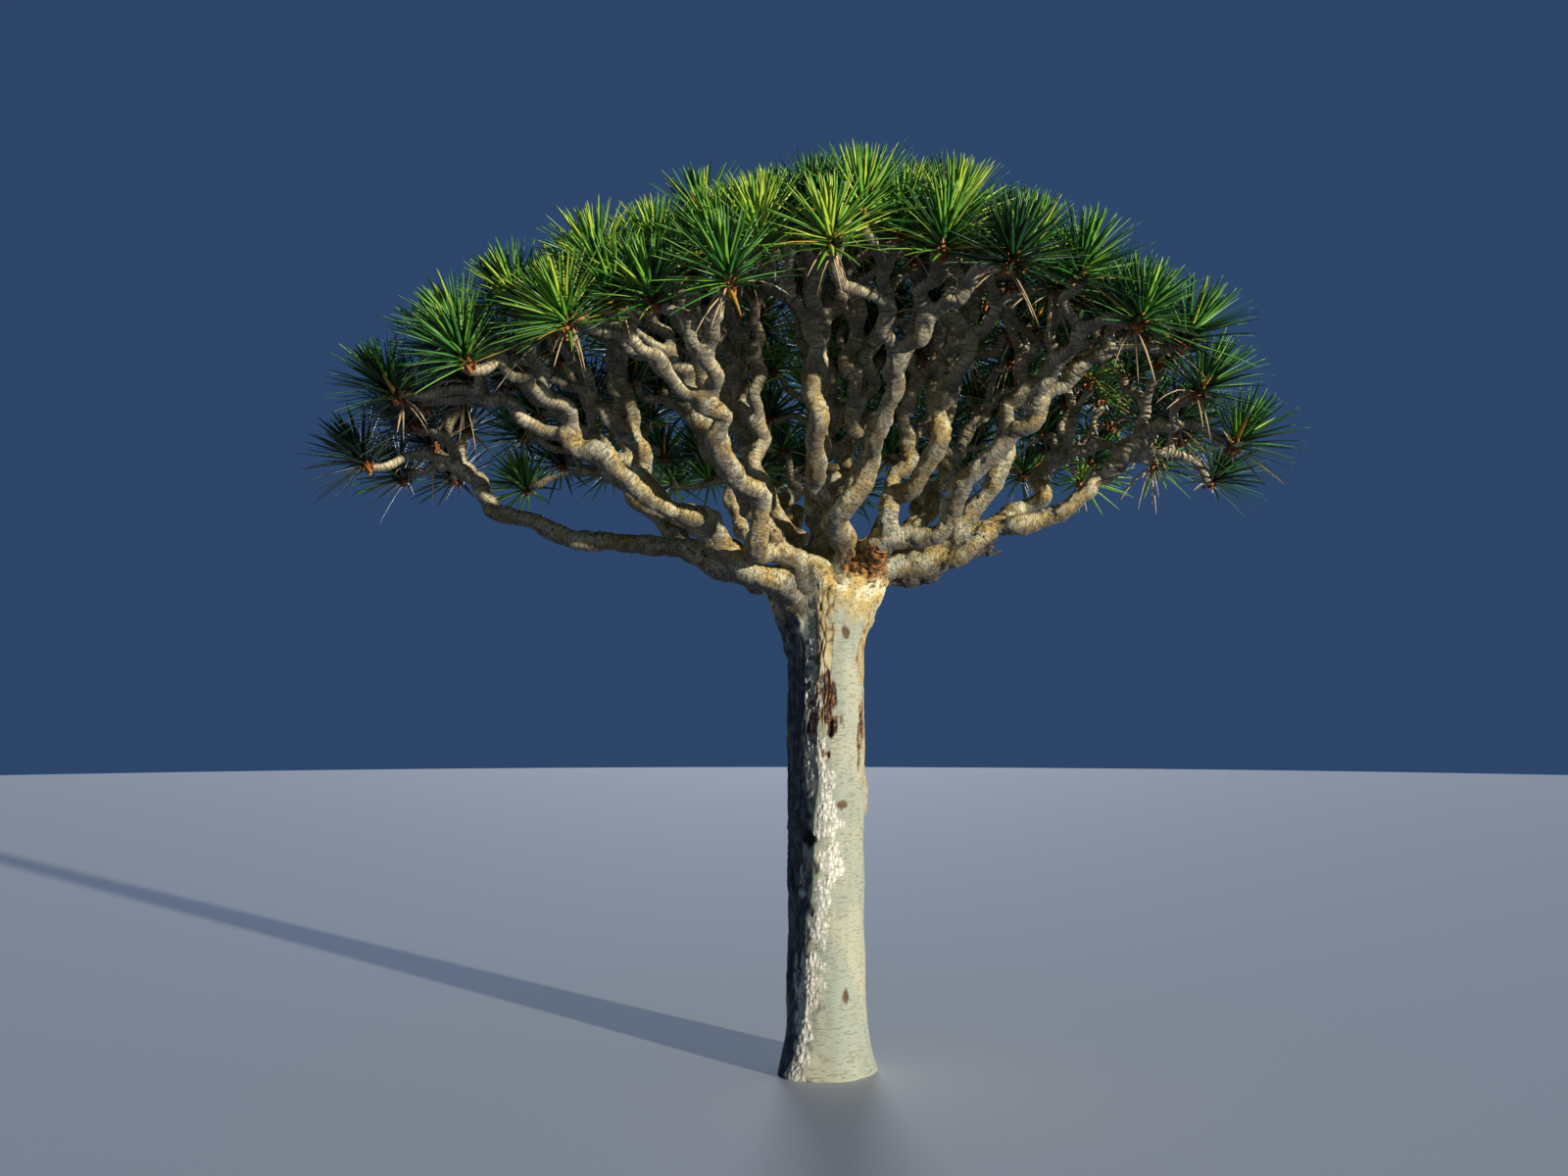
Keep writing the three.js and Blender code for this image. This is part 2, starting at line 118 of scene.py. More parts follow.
twig = {
    "forkShare": 0.36,    # of the way from a fork to the middle of its tips, to the next fork
    "lastShare": 0.42,    # the same, where only two tips are left
    "spread": 1.15,       # how far a fork's two branches lean apart as they leave
    "upright": 0.45,      # how far a twig turns upwards on its way to its own fork
    "outward": 0.25,      # how far the last twigs turn outwards from upright
    "eager": 1.7,         # how far it keeps the way it left, as a share of its length
    "sway": 0.075,
    "turns": 1,
    "sunk": 0.8,          # radii that a twig starts back inside its parent
}


def makeRandom(seed):
    # Park-Miller: every draw is the last state times 48271, modulo 2147483647, as a share of it
    state = seed

    def draw():
        nonlocal state
        state = state * 48271 % 2147483647
        return state / 2147483647
    return draw


def unit(vectors):
    return vectors / np.linalg.norm(vectors, axis=-1, keepdims=True)


def polar(radius, azimuth, height=0.0):
    angle = math.radians(azimuth)
    return np.array([radius * math.cos(angle), radius * math.sin(angle), height])


def aim(azimuth, elevation):
    return polar(math.cos(math.radians(elevation)), azimuth, math.sin(math.radians(elevation)))


def lobed(azimuth, lobes):
    # sum of bumps round the tree: gain times the eighth power of the cosine from each centre
    return sum(gain * max(0.0, math.cos(math.radians(azimuth - centre))) ** 8
               for centre, gain in lobes)


def crownReach(azimuth):
    return crown["reach"] * (1 + lobed(azimuth, crown["reachLobes"]))


def domeHeight(radius, azimuth):
    # a paraboloid from the apex down to the rim, which dips and rises round the tree
    rim = crown["rim"] + lobed(azimuth, crown["rimLobes"])
    return rim + (crown["apex"] - rim) * (1 - (radius / crownReach(azimuth)) ** 2)


def crownTips():
    # a sunflower's spiral: a golden angle apart, radius by the root of the count, each a little off
    random = makeRandom(crown["seed"])
    tips = []
    for i in range(crown["tips"]):
        azimuth = i * crown["turn"] % 360
        radius = crownReach(azimuth) * math.sqrt((i + 0.5) / crown["tips"])
        shift = np.array([(2 * random() - 1) * crown["jitter"] for _ in range(3)])
        tips.append(polar(radius, azimuth, domeHeight(radius, azimuth)) + shift)
    return np.array(tips)


def limbRadius(tipCount):
    return limb["tipRadius"] * tipCount ** limb["thickening"]


def squareTo(direction):
    axis = np.zeros(3)
    axis[np.argmin(np.abs(direction))] = 1
    return unit(np.cross(axis, direction))


class Run:
    # A limb's centre line: a cubic from foot to end that leaves and arrives along given
    # directions, plus a sway of two sines, one along each direction square to the span, whose
    # height is sin squared of pi times the share of the way, so that both ends stay in place.
    def __init__(self, foot, leave, end, arrive, sway, turns, random, eager=1):
        span = end - foot
        self.foot, self.end = foot, end
        self.length = np.linalg.norm(span)
        self.leave = unit(leave) * self.length * eager
        self.arrive = unit(arrive) * self.length
        self.side = squareTo(unit(span))
        self.other = np.cross(unit(span), self.side)
        self.sway, self.turns = sway, turns
        self.phases = [random() * 2 * math.pi, random() * 2 * math.pi]

    def at(self, places):
        t = np.asarray(places, float)[..., None]
        offset = self.sway * self.length * np.sin(math.pi * t) ** 2
        wave = 2 * math.pi * self.turns * t
        return ((2 * t**3 - 3 * t**2 + 1) * self.foot + (t**3 - 2 * t**2 + t) * self.leave
                + (3 * t**2 - 2 * t**3) * self.end + (t**3 - t**2) * self.arrive
                + offset * np.sin(wave + self.phases[0]) * self.side
                + offset * np.sin(0.75 * wave + self.phases[1]) * self.other)

    def direction(self, place):
        step = 1e-4
        return unit(self.at(min(1, place + step)) - self.at(max(0, place - step)))


def planBoughs(tips):
    # every bough heads for the middle of its mass, and owns the tips that are nearest to it
    boughs = []
    for ring in rings:
        for i, azimuth in enumerate(ring["azimuths"]):
            reach = ring["reach"] * crownReach(azimuth) / crown["reach"]
            boughs.append({"ring": ring, "azimuth": azimuth, "name": f"{ring['name']}_{i + 1}",
                           "middle": polar(reach, azimuth, domeHeight(reach, azimuth)),
                           "parent": None})
    middles = np.array([bough["middle"] for bough in boughs])
    nearest = np.linalg.norm(tips[:, None] - middles[None], axis=2).argmin(axis=1)
    rim = [bough for bough in boughs if bough["ring"]["name"] == "rim"]
    for i, bough in enumerate(boughs):
        bough["tips"] = [int(tip) for tip in np.flatnonzero(nearest == i)]
        if "branchAt" in bough["ring"]:
            bough["parent"] = min(rim, key=lambda one: abs((one["azimuth"] - bough["azimuth"] + 540)
                                                           % 360 - 180))
    for bough in boughs:
        carried = [other for other in boughs if other["parent"] is bough]
        bough["carries"] = len(bough["tips"]) + sum(len(other["tips"]) for other in carried)
    return boughs


def boughRun(bough, random):
    ring, azimuth, middle, parent = (bough[key] for key in ("ring", "azimuth", "middle", "parent"))
    isRim = ring["name"] == "rim"
    extra = {key: lobed(azimuth, lobes) if isRim else 0 for key, lobes in armLobes.items()}
    out = math.hypot(middle[0], middle[1]) * (ring["out"] + extra["out"])
    end = polar(out, azimuth, middle[2] - ring["drop"] - extra["drop"])
    if parent:
        at = ring["branchAt"]
        foot = parent["run"].at(at)
        along = unit(parent["run"].at(at + 0.04) - parent["run"].at(at - 0.04))
        leave = limb["branchAlong"] * along + limb["branchUp"] * up
    else:
        depth = limb["footDepth"] if isRim else limb["innerDepth"]
        foot = polar(depth, azimuth, limb["footHeight"])
        foot[0] += trunk["lean"]
        leave = aim(azimuth, ring["elevation"] + extra["elevation"])
    arrive = (1 + extra["rise"]) * unit(middle - end) + unit(end - foot)
    sway = limb["sway"] * (1 + extra["sway"])
    return Run(foot, leave, end, arrive, sway, limb["turns"], random)


def partTips(places, tips):
    # parts tips in two halves along the direction in which they spread most, which sixty
    # rounds of power iteration on their scatter find
    away = places[tips] - places[tips].mean(axis=0)
    direction = unit(np.array([1, 0.6, 0.3]))
    for _ in range(60):
        direction = unit((away * (away @ direction)[:, None]).sum(axis=0))
    order = sorted(range(len(tips)), key=lambda i: away[i] @ direction)
    half = len(tips) // 2
    return [tips[i] for i in order[:half]], [tips[i] for i in order[half:]]


def growTwigs(foot, leave, tips, places, random, tube, tubes):
    # From each fork a twig runs part of the way to the middle of its tips and forks again, down
    # to single tips. The first branch goes on in the same tube, the second starts its own. Both
    # lean apart as they leave, towards the middles of their own tips.
    middle = places[tips].mean(axis=0)
    isLast = len(tips) == 1
    share = twig["lastShare"] if len(tips) == 2 else twig["forkShare"]
    end = middle if isLast else foot + (middle - foot) * share
    if isLast:
        arrive = twig["outward"] * np.array([middle[0], middle[1], 0]) + up
    else:
        arrive = unit(middle - foot) * (1 - twig["upright"]) + up * twig["upright"]
    run = Run(foot, leave, end, arrive, twig["sway"], twig["turns"], random, twig["eager"])
    tube.append((run, len(tips)))
    if isLast:
        tubes.append({"parts": tube, "tip": tips[0], "axis": run.direction(1)})
        return
    if len(tips) == 2:      # the last fork draws from its own seed
        random = makeRandom(crown["seed"] + 31 * (tips[0] + 1))
    along = run.direction(1)
    for i, half in enumerate(partTips(places, tips)):
        away = places[half].mean(axis=0) - middle
        away = unit(away - along * (away @ along))
        ownTube = [] if i else tube
        growTwigs(end, along + twig["spread"] * away, half, places, random, ownTube, tubes)


def growTree():
    tips = crownTips()
    boughs = planBoughs(tips)
    random = makeRandom(crown["seed"] + 1)
    for bough in boughs:
        bough["run"] = boughRun(bough, random)
    for i, bough in enumerate(boughs):
        direction = bough["run"].direction(1)
        bough["tubes"] = []
        growTwigs(bough["run"].end, direction, bough["tips"], tips,
                  makeRandom(crown["seed"] + 7919 * (i + 1)), [], bough["tubes"])
    return boughs


# Noise on whole arrays of points

def hashed(cells, seed):
    # a number from 0 to 1 for each whole-number place, by multiplying, mixing and masking bits
    mixed = (cells[..., 0] * 73856093 ^ cells[..., 1] * 19349663 ^ cells[..., 2] * 83492791
             ^ (seed + 7) * 2654435761) & 0x7fffffff
    mixed = (mixed ^ (mixed >> 13)) * 1274126177 & 0x7fffffff
    mixed = (mixed ^ (mixed >> 16)) * 1103515245 & 0x7fffffff
    return mixed / 0x7fffffff


def smoothNoise(points, size, seed=0):
    # from -1 to 1: the eight hashed corners of a lattice cube, mixed by 3t^2 - 2t^3 on each axis
    cells = np.floor(points / size).astype(np.int64)
    part = points / size - cells
    part = part * part * (3 - 2 * part)
    total = 0
    for corner in itertools.product((0, 1), repeat=3):
        weight = np.prod(np.where(corner, part, 1 - part), axis=-1)
        total = total + weight * hashed(cells + np.array(corner), seed)
    return 2 * total - 1


def roughNoise(points, size, octaves=3, seed=0):
    # octaves of smooth noise, each half the size and half the height of the last
    return sum(smoothNoise(points, size / 2**i, seed + i) / 2**i for i in range(octaves))


def grainNoise(points, size, seed=0):
    # distances to the nearest and second nearest of one hashed point in each lattice cube,
    # as shares of its size
    cells = np.floor(points / size).astype(np.int64)
    first = np.full(points.shape[:-1], 9.0)
    second = first.copy()
    for corner in itertools.product((-1, 0, 1), repeat=3):
        cell = cells + np.array(corner)
        grain = cell + np.stack([hashed(cell, seed + axis) for axis in range(3)], axis=-1)
        away = np.linalg.norm(points / size - grain, axis=-1)
        second = np.minimum(second, np.maximum(first, away))
        first = np.minimum(first, away)
    return first, second


def ramp(values, low, high):
    # smooth step from 0 at low to 1 at high
    t = np.clip((values - low) / (high - low), 0, 1)
    return t * t * (3 - 2 * t)


# Meshes from arrays

def makePiece(name, vertices, quads, triangles, material, smooth=True, **attributes):
    # one object from arrays of corners; an attribute is a number or a vector for each vertex
    mesh = bpy.data.meshes.new(name)
    corners = np.concatenate([quads.ravel(), triangles.ravel()]).astype(np.int32)
    starts = np.concatenate([np.arange(len(quads)) * 4,
                             len(quads) * 4 + np.arange(len(triangles)) * 3]).astype(np.int32)
    mesh.vertices.add(len(vertices))
    mesh.vertices.foreach_set("co", vertices.astype(np.float32).ravel())
    mesh.loops.add(len(corners))
    mesh.loops.foreach_set("vertex_index", corners)
    mesh.polygons.add(len(starts))
    mesh.polygons.foreach_set("loop_start", starts)
    mesh.update(calc_edges=True)
    if smooth:
        mesh.shade_smooth()
    for key, values in attributes.items():
        kind, field = ("FLOAT_VECTOR", "vector") if values.ndim == 2 else ("FLOAT", "value")
        mesh.attributes.new(key, kind, "POINT").data.foreach_set(
            field, values.astype(np.float32).ravel())
    mesh.materials.append(material)
    piece = bpy.data.objects.new(name, mesh)
    bpy.context.scene.collection.objects.link(piece)
    print(f"{name}: {2 * len(quads) + len(triangles)} triangles")
    return piece


class TubeSet:
    # Gathers closed tubes for one piece: each is a grid of rings, with a fan at either end.
    def __init__(self):
        self.vertices, self.quads, self.triangles = [], [], []
        self.attributes = {}
        self.count = 0

    def add(self, grid, **attributes):
        rows, columns = grid.shape[:2]
        ends = np.stack([grid[0].mean(axis=0), grid[-1].mean(axis=0)])
        self.vertices.append(np.concatenate([grid.reshape(-1, 3), ends]))
        row, column = np.meshgrid(np.arange(rows - 1), np.arange(columns), indexing="ij")
        after = (column + 1) % columns
        corners = np.stack([row * columns + column, row * columns + after,
                            (row + 1) * columns + after, (row + 1) * columns + column], axis=-1)
        self.quads.append(corners.reshape(-1, 4) + self.count)
        spot, turn = np.arange(columns), (np.arange(columns) + 1) % columns
        last = (rows - 1) * columns
        foot = np.stack([turn, spot, np.full(columns, rows * columns)], axis=-1)
        tip = np.stack([last + spot, last + turn, np.full(columns, rows * columns + 1)], axis=-1)
        self.triangles.append(np.concatenate([foot, tip]) + self.count)
        for key, values in attributes.items():
            ends = [values[0].mean(axis=0, keepdims=True), values[-1].mean(axis=0, keepdims=True)]
            flat = values.reshape(rows * columns, *values.shape[2:])
            self.attributes.setdefault(key, []).append(np.concatenate([flat, *ends]))
        self.count += rows * columns + 2

    def piece(self, name, material):
        attributes = {key: np.concatenate(values) for key, values in self.attributes.items()}
        return makePiece(name, np.concatenate(self.vertices), np.concatenate(self.quads),
                         np.concatenate(self.triangles), material, **attributes)


# Limbs: boughs and twigs

limbSkin = {
    "oldFrom": 0.034,      # radius at which a limb's bark starts to turn old
    "oldAt": 0.06,         # and at which it is wholly so
    "scarSpacing": 0.027,  # from one leaf scar ring to the next
    "scarHeight": 0.0026,
    "lumpSize": 0.1,
    "lumpHeight": 0.016,
    "youngLumps": 0.35,    # share of their height on young bark
    "grainSize": 0.03,
    "grainHeight": 0.011,
    "youngGrains": 0.2,
    "kneeSize": 0.05,      # length of the swelling on either side of a fork
    "kneeHeight": 0.12,    # as a share of the radius
    "swellSize": 0.13,     # length of the swellings along a limb
    "swellHeight": 0.12,
    "crookSize": 0.14,     # from one elbow to the next
    "crookHeight": 1.15,   # how far they stray, as a share of the radius
    "crookBlur": 0.03,     # length over which an elbow is rounded
    "calmLength": 0.09,    # to either side of where a limb grows on it, without elbows
    "taperBlur": 0.045,    # length over which a change of thickness is spread
    "joinWidth": 0.34,     # width of a fork's fillet, as a share of the thinner limb's radius
    "headWidth": 0.55,     # the same where the boughs leave the trunk
    "joinMost": 1.7,       # most that a fillet adds, in its widths
    "joinReach": 3.5,      # how far off a neighbour is still felt, in its widths
    "joinStep": 0.85,      # share of what is missing that each round adds
    "freshLength": 0.2,    # length under a rosette where the bark is still orange-brown
}


def lengthsAlong(points):
    return np.concatenate([[0], np.cumsum(np.linalg.norm(np.diff(points, axis=0), axis=1))])


def runningMean(values, reach):
    # mean over reach places to either side, with the ends repeated
    padded = np.pad(values, reach, mode="edge")
    return np.convolve(padded, np.ones(2 * reach + 1) / (2 * reach + 1), mode="valid")


def limbCentres(run, count, radius, seed, anchor=None):
    # the run's points, moved sideways from elbow to elbow: straight lines between seeded
    # heights, rounded by a running mean, and nothing at both ends and where a limb grows on it
    generator = np.random.default_rng(crown["seed"] + 101 * seed)
    share = np.linspace(0, 1, count)
    points = run.at(share)
    elbows = max(2, round(run.length / limbSkin["crookSize"]))
    blur = max(1, round(limbSkin["crookBlur"] / 2 / run.length * count))
    calm = 1
    if anchor is not None:
        calm = 1 - np.exp(-((share - anchor) * run.length / limbSkin["calmLength"]) ** 2)
    for side in (run.side, run.other):
        heights = generator.uniform(-1, 1, elbows + 1)
        heights[[0, -1]] = 0
        bend = runningMean(np.interp(share * elbows, np.arange(elbows + 1), heights), blur) * calm
        points = points + (limbSkin["crookHeight"] * radius * bend)[:, None] * side
    return points


def carriedFrames(points):
    # directions along a row of points, and a side square to each, carried on without twisting
    tangents = unit(np.gradient(points, axis=0))
    sides = np.empty_like(points)
    side = squareTo(tangents[0])
    for i, tangent in enumerate(tangents):
        side = unit(side - tangent * (side @ tangent))
        sides[i] = side
    return tangents, sides, np.cross(tangents, sides)


def boughRadii(bough, count):
    # straight taper from the radius for all that it carries to that for its own tips, with a
    # collar that fades by an exponential
    share = np.linspace(0, 1, count)
    start, end = limbRadius(bough["carries"]), limbRadius(len(bough["tips"]))
    collar = 1 + limb["collar"] * np.exp(-share / limb["collarFade"])
    return (start + (end - start) * share) * collar


def chainOf(tube, spacing, seed, lead=None):
    # rows of points and radii along a tube of twigs, one after another, with knees at the
    # forks and swellings of smooth noise on the length
    points, radii, knees = [], [], []
    length = 0.0
    if lead is not None:
        points.append(lead[0][:-1])
        radii.append(lead[1][:-1])
        length = lengthsAlong(lead[0])[-1]
    for i, (run, tipCount) in enumerate(tube["parts"]):
        radius = limbRadius(tipCount)
        count = max(4, int(run.length / spacing))
        centres = limbCentres(run, count, radius, seed + i)
        isEnd = i == len(tube["parts"]) - 1
        points.append(centres if isEnd else centres[:-1])
        radii.append(np.full(len(points[-1]), radius))
        if i > 0 or lead is None:
            knees.append(length)
        length += lengthsAlong(centres)[-1]
    points, radii = np.concatenate(points), np.concatenate(radii)
    along = lengthsAlong(points)
    radii = runningMean(radii, max(1, int(limbSkin["taperBlur"] / spacing)))
    for knee in knees:
        radii = radii * (1 + limbSkin["kneeHeight"]
                         * np.exp(-((along - knee) / limbSkin["kneeSize"]) ** 2))
    spot = np.stack([along, np.full(len(along), seed * 7.7), np.zeros(len(along))], axis=-1)
    swelling = limbSkin["swellHeight"] * smoothNoise(spot, limbSkin["swellSize"], 3)
    return points, radii * (1 + swelling)


def sinkFoot(points, radii, depth):
    # one more row behind a limb's foot, inside its parent
    direction = unit(points[1] - points[0])
    return (np.concatenate([(points[0] - direction * depth)[None], points]),
            np.concatenate([radii[:1] * 0.9, radii]))


def distanceToLimb(places, limbRows):
    # distance from places to a limb's surface, by the nearest of its rows, and its radius there
    points, radii = limbRows
    away = np.linalg.norm(places[..., None, :] - points, axis=-1) - radii
    nearest = away.argmin(axis=-1)[..., None]
    return np.take_along_axis(away, nearest, -1)[..., 0], radii[nearest[..., 0]]


def joinLimbs(centres, radii, surface, outward, neighbours, rounds=4):
    # Smooth union with the limbs that this one joins: each point moves outwards by a push p
    # until exp(-p/k) plus the sum of exp(-d/k) is 1, where d is the distance to a neighbour's
    # surface and k the fillet's width. Gives the push, the neighbours' sum and their radius.
    reach = limbSkin["joinReach"]
    close = []
    for limbRows, width in neighbours:
        if limbRows is trunk:
            distance, thickness = distanceToTrunk(centres)
            gaps = (distance - radii)[:, None]
            thickness = thickness[:, None]
        else:
            gaps = np.linalg.norm(centres[:, None] - limbRows[0], axis=-1)
            gaps = gaps - radii[:, None] - limbRows[1]
            thickness = limbRows[1][None]
        near = gaps < reach * width * np.minimum(thickness, radii[:, None])
        if near.any():
            here = near.any(axis=0)
            close.append((near.any(axis=1), limbRows if limbRows is trunk
                          else (limbRows[0][here], limbRows[1][here]), width))
    push = np.zeros(surface.shape[:2])
    total, thick = push.copy(), push + radii[:, None]
    fillet = push + 1e-3
    for _ in range(rounds if close else 0):
        total[:] = 0
        strongest = push * 0
        for rows, limbRows, width in close:
            places = surface[rows] + outward[rows] * push[rows][..., None]
            if limbRows is trunk:
                distance, thickness = distanceToTrunk(places)
            else:
                distance, thickness = distanceToLimb(places, limbRows)
            k = width * np.minimum(thickness, radii[rows][:, None])
            part = np.exp(np.clip(-distance / k, -12, 3))
            stronger = part > strongest[rows]
            strongest[rows] = np.where(stronger, part, strongest[rows])
            fillet[rows] = np.where(stronger, k, fillet[rows])
            thick[rows] = np.where(stronger, thickness, thick[rows])
            total[rows] += part
        short = fillet * np.log(np.exp(-push / fillet) + total)
        push = np.clip(push + limbSkin["joinStep"] * short, 0, limbSkin["joinMost"] * fillet)
    return push, np.clip(total, 0, 1), thick


tornBark = {
    "middle": (0.3, -0.38, 3.1),
    "reach": (0.17, 0.38, 0.11),
    "near": 0.4,           # limbs that stay further off than this have none
    "ragged": 0.35,        # how far noise moves its edge, as a share of the reach
    "swirl": 0.05,         # how far the strips are bent
    "stripSize": 0.05,
    "stripShape": (1.4, 1.0, 1.0),
    "stripHeight": 0.014,
    "crackDepth": 0.034,   # below the top of the strips
}


def tornShare(places):
    # 1 within an ellipsoid at the right fork, where the bark is torn, with a ragged edge
    away = (places - np.array(tornBark["middle"])) / np.array(tornBark["reach"])
    edge = tornBark["ragged"] * roughNoise(places, 0.09, 3, 90)
    return 1 - ramp(np.linalg.norm(away, axis=-1) + edge, 0.75, 1.0)


def tornRelief(places):
    # torn bark stands up in swirling strips: ridges of noise whose place is bent by more noise
    swirl = np.stack([smoothNoise(places, 0.11, seed) for seed in (91, 92, 93)], axis=-1)
    bent = (places + tornBark["swirl"] * swirl) * np.array(tornBark["stripShape"])
    strips = np.abs(smoothNoise(bent, tornBark["stripSize"], 94))
    return tornBark["stripHeight"] - tornBark["crackDepth"] * ramp(strips, 0.28, 0.0)


def corkRelief(surface, old):
    # lumps and grains of noise, stronger on old bark
    near, _ = grainNoise(surface, limbSkin["grainSize"], 30)
    lumps = roughNoise(surface, limbSkin["lumpSize"], 3, 20)
    lumpShare = limbSkin["youngLumps"] + (1 - limbSkin["youngLumps"]) * old
    grainShare = limbSkin["youngGrains"] + (1 - limbSkin["youngGrains"]) * old
    return (limbSkin["lumpHeight"] * lumps * lumpShare
            + limbSkin["grainHeight"] * (0.5 - near) * grainShare)


def tubeAround(points, radii, columns):
    # a circle of columns round each point: its sides carried along, times the radius
    tangents, sides, others = carriedFrames(points)
    angles = np.arange(columns) * 2 * math.pi / columns
    outward = (np.cos(angles)[None, :, None] * sides[:, None]
               + np.sin(angles)[None, :, None] * others[:, None])
    return tangents, angles, outward, points[:, None] + outward * radii[:, None, None]


def wrapLimb(rows, columns, tubes, neighbours):
    # A tube round rows of points and radii. It is joined to its neighbours, then the bark's
    # relief is added: lumps and grains on old bark, leaf scar rings on young bark. The straight
    # attribute is each point's place on the same limb laid out straight along Z.
    points, radii = rows
    _, angles, outward, surface = tubeAround(points, radii, columns)
    along = lengthsAlong(points)
    push, meeting, thick = joinLimbs(points, radii, surface, outward, neighbours)
    surface = surface + outward * push[..., None]
    girth = radii[:, None] * (1 - meeting) + thick * meeting
    old = ramp(girth, limbSkin["oldFrom"], limbSkin["oldAt"])
    warp = 0.42 * smoothNoise(surface, 0.05, 40) + 0.3 * smoothNoise(surface, 0.11, 41)
    rings = along[:, None] / limbSkin["scarSpacing"] + warp
    height = corkRelief(surface, old)
    height = height - limbSkin["scarHeight"] * np.cos(2 * math.pi * rings) * (1 - 0.8 * old)
    torn = np.zeros(push.shape)
    if np.abs(points - np.array(tornBark["middle"])).max(axis=1).min() < tornBark["near"]:
        torn = tornShare(surface)
        height = height + torn * tornRelief(surface)
    straight = np.stack([np.cos(angles) * radii[:, None], np.sin(angles) * radii[:, None],
                         rings * limbSkin["scarSpacing"]], axis=-1)
    left = along[-1] - along
    fresh = 1 - ramp(left, 0.3 * limbSkin["freshLength"], limbSkin["freshLength"])
    fresh = np.broadcast_to(fresh[:, None], push.shape)
    # painted shade: the bark darkens where it faces down
    tubes.add(surface + outward * height[..., None], straight=straight, old=old, fresh=fresh,
              torn=torn, under=ramp(-outward[..., 2], -0.3, 0.9))


# Rosettes of sword leaves

rosette = {
    "leaves": 92,
    "length": 0.36,
    "width": 0.026,
    "keel": 0.006,        # height of a blade's keel at its base
    "keelFade": 0.7,      # share of it that is gone at the tip
    "turn": 137.508,      # degrees from one leaf to the next, the golden angle
    "stem": 0.12,         # length of twig that carries leaves
    "girth": 0.024,       # from the twig's middle to a leaf's base
    "lowest": 0,          # elevation of the oldest leaves, from the plane square to the twig
    "highest": 86,
    "scatter": 5,         # degrees of chance in it
    "droop": 0.09,        # further droop of the oldest leaves, as a share of their length
    "sizes": (0.9, 1.05),      # of whole rosettes
    "lengths": (0.9, 1.06),    # of single leaves
    "widths": (0.85, 1.15),
    "dryShare": 0.5,      # of the rosettes, those with dead leaves that hang under them
    "dryMost": 6,
    "sheaths": 14,        # orange-brown bases of fallen leaves that clasp the twig
    "sheathLength": 0.07,
}
leafStations = np.array([0, 0.18, 0.45, 0.72, 0.9])
leafOutline = np.array([0.86, 1.0, 0.86, 0.56, 0.27])


def leafBlades(bases, directions, acrosses, lengths, widths, droops, twists):
    # Closed three-sided blades, all at once: two edges and a keel on their upper side along a
    # parabola that droops by gravity, turned about itself by twist towards its tip.
    def path(share):
        bent = share * directions[:, None] - droops[:, None, None] * share**2 * up
        return bases[:, None] + lengths[:, None, None] * bent

    s = leafStations[None, :, None]
    centres = path(s)
    along = unit(directions[:, None] - 2 * droops[:, None, None] * s * up)
    flat = unit(acrosses[:, None] - along * (acrosses[:, None] * along).sum(-1, keepdims=True))
    upper = np.cross(along, flat)
    turn = twists[:, None, None] * s
    across = flat * np.cos(turn) + upper * np.sin(turn)
    above = upper * np.cos(turn) - flat * np.sin(turn)
    half = 0.5 * widths[:, None, None] * leafOutline[None, :, None]
    keel = rosette["keel"] * (1 - rosette["keelFade"] * s)
    edges = [centres - across * half, centres + above * keel, centres + across * half]
    rim = np.stack(edges, axis=2)
    tips = path(np.ones((1, 1, 1)))[:, 0]
    count, levels = len(bases), len(leafStations)
    vertices = np.concatenate([rim.reshape(count, -1, 3), tips[:, None]], axis=1)
    level, corner = np.meshgrid(np.arange(levels - 1), np.arange(3), indexing="ij")
    after = (corner + 1) % 3
    quad = np.stack([level * 3 + corner, (level + 1) * 3 + corner, (level + 1) * 3 + after,
                     level * 3 + after], axis=-1).reshape(-1, 4)
    top = (levels - 1) * 3
    triangle = np.array([[0, 1, 2]] + [[top + (i + 1) % 3, top + i, top + 3] for i in range(3)])
    starts = (np.arange(count) * (levels * 3 + 1))[:, None, None]
    quads, triangles = (quad + starts).reshape(-1, 4), (triangle + starts).reshape(-1, 3)
    return vertices.reshape(-1, 3), quads, triangles


tints = {
    "bottleGreen": "#0e2317",
    "deepGreen": "#1a401c",
    "green": "#346c26",
    "freshGreen": "#62962c",
    "yellowGreen": "#9cb43a",
    "yellow": "#b98f2e",
    "dry": "#b59c76",
    "sheath": "#9a5f2e",
}


def spokes(axis, angle):
    # directions square to a twig at angles round it, and those a quarter turn further on
    side = squareTo(axis)
    other = np.cross(axis, side)
    return (np.cos(angle)[:, None] * side + np.sin(angle)[:, None] * other,
            -np.sin(angle)[:, None] * side + np.cos(angle)[:, None] * other)


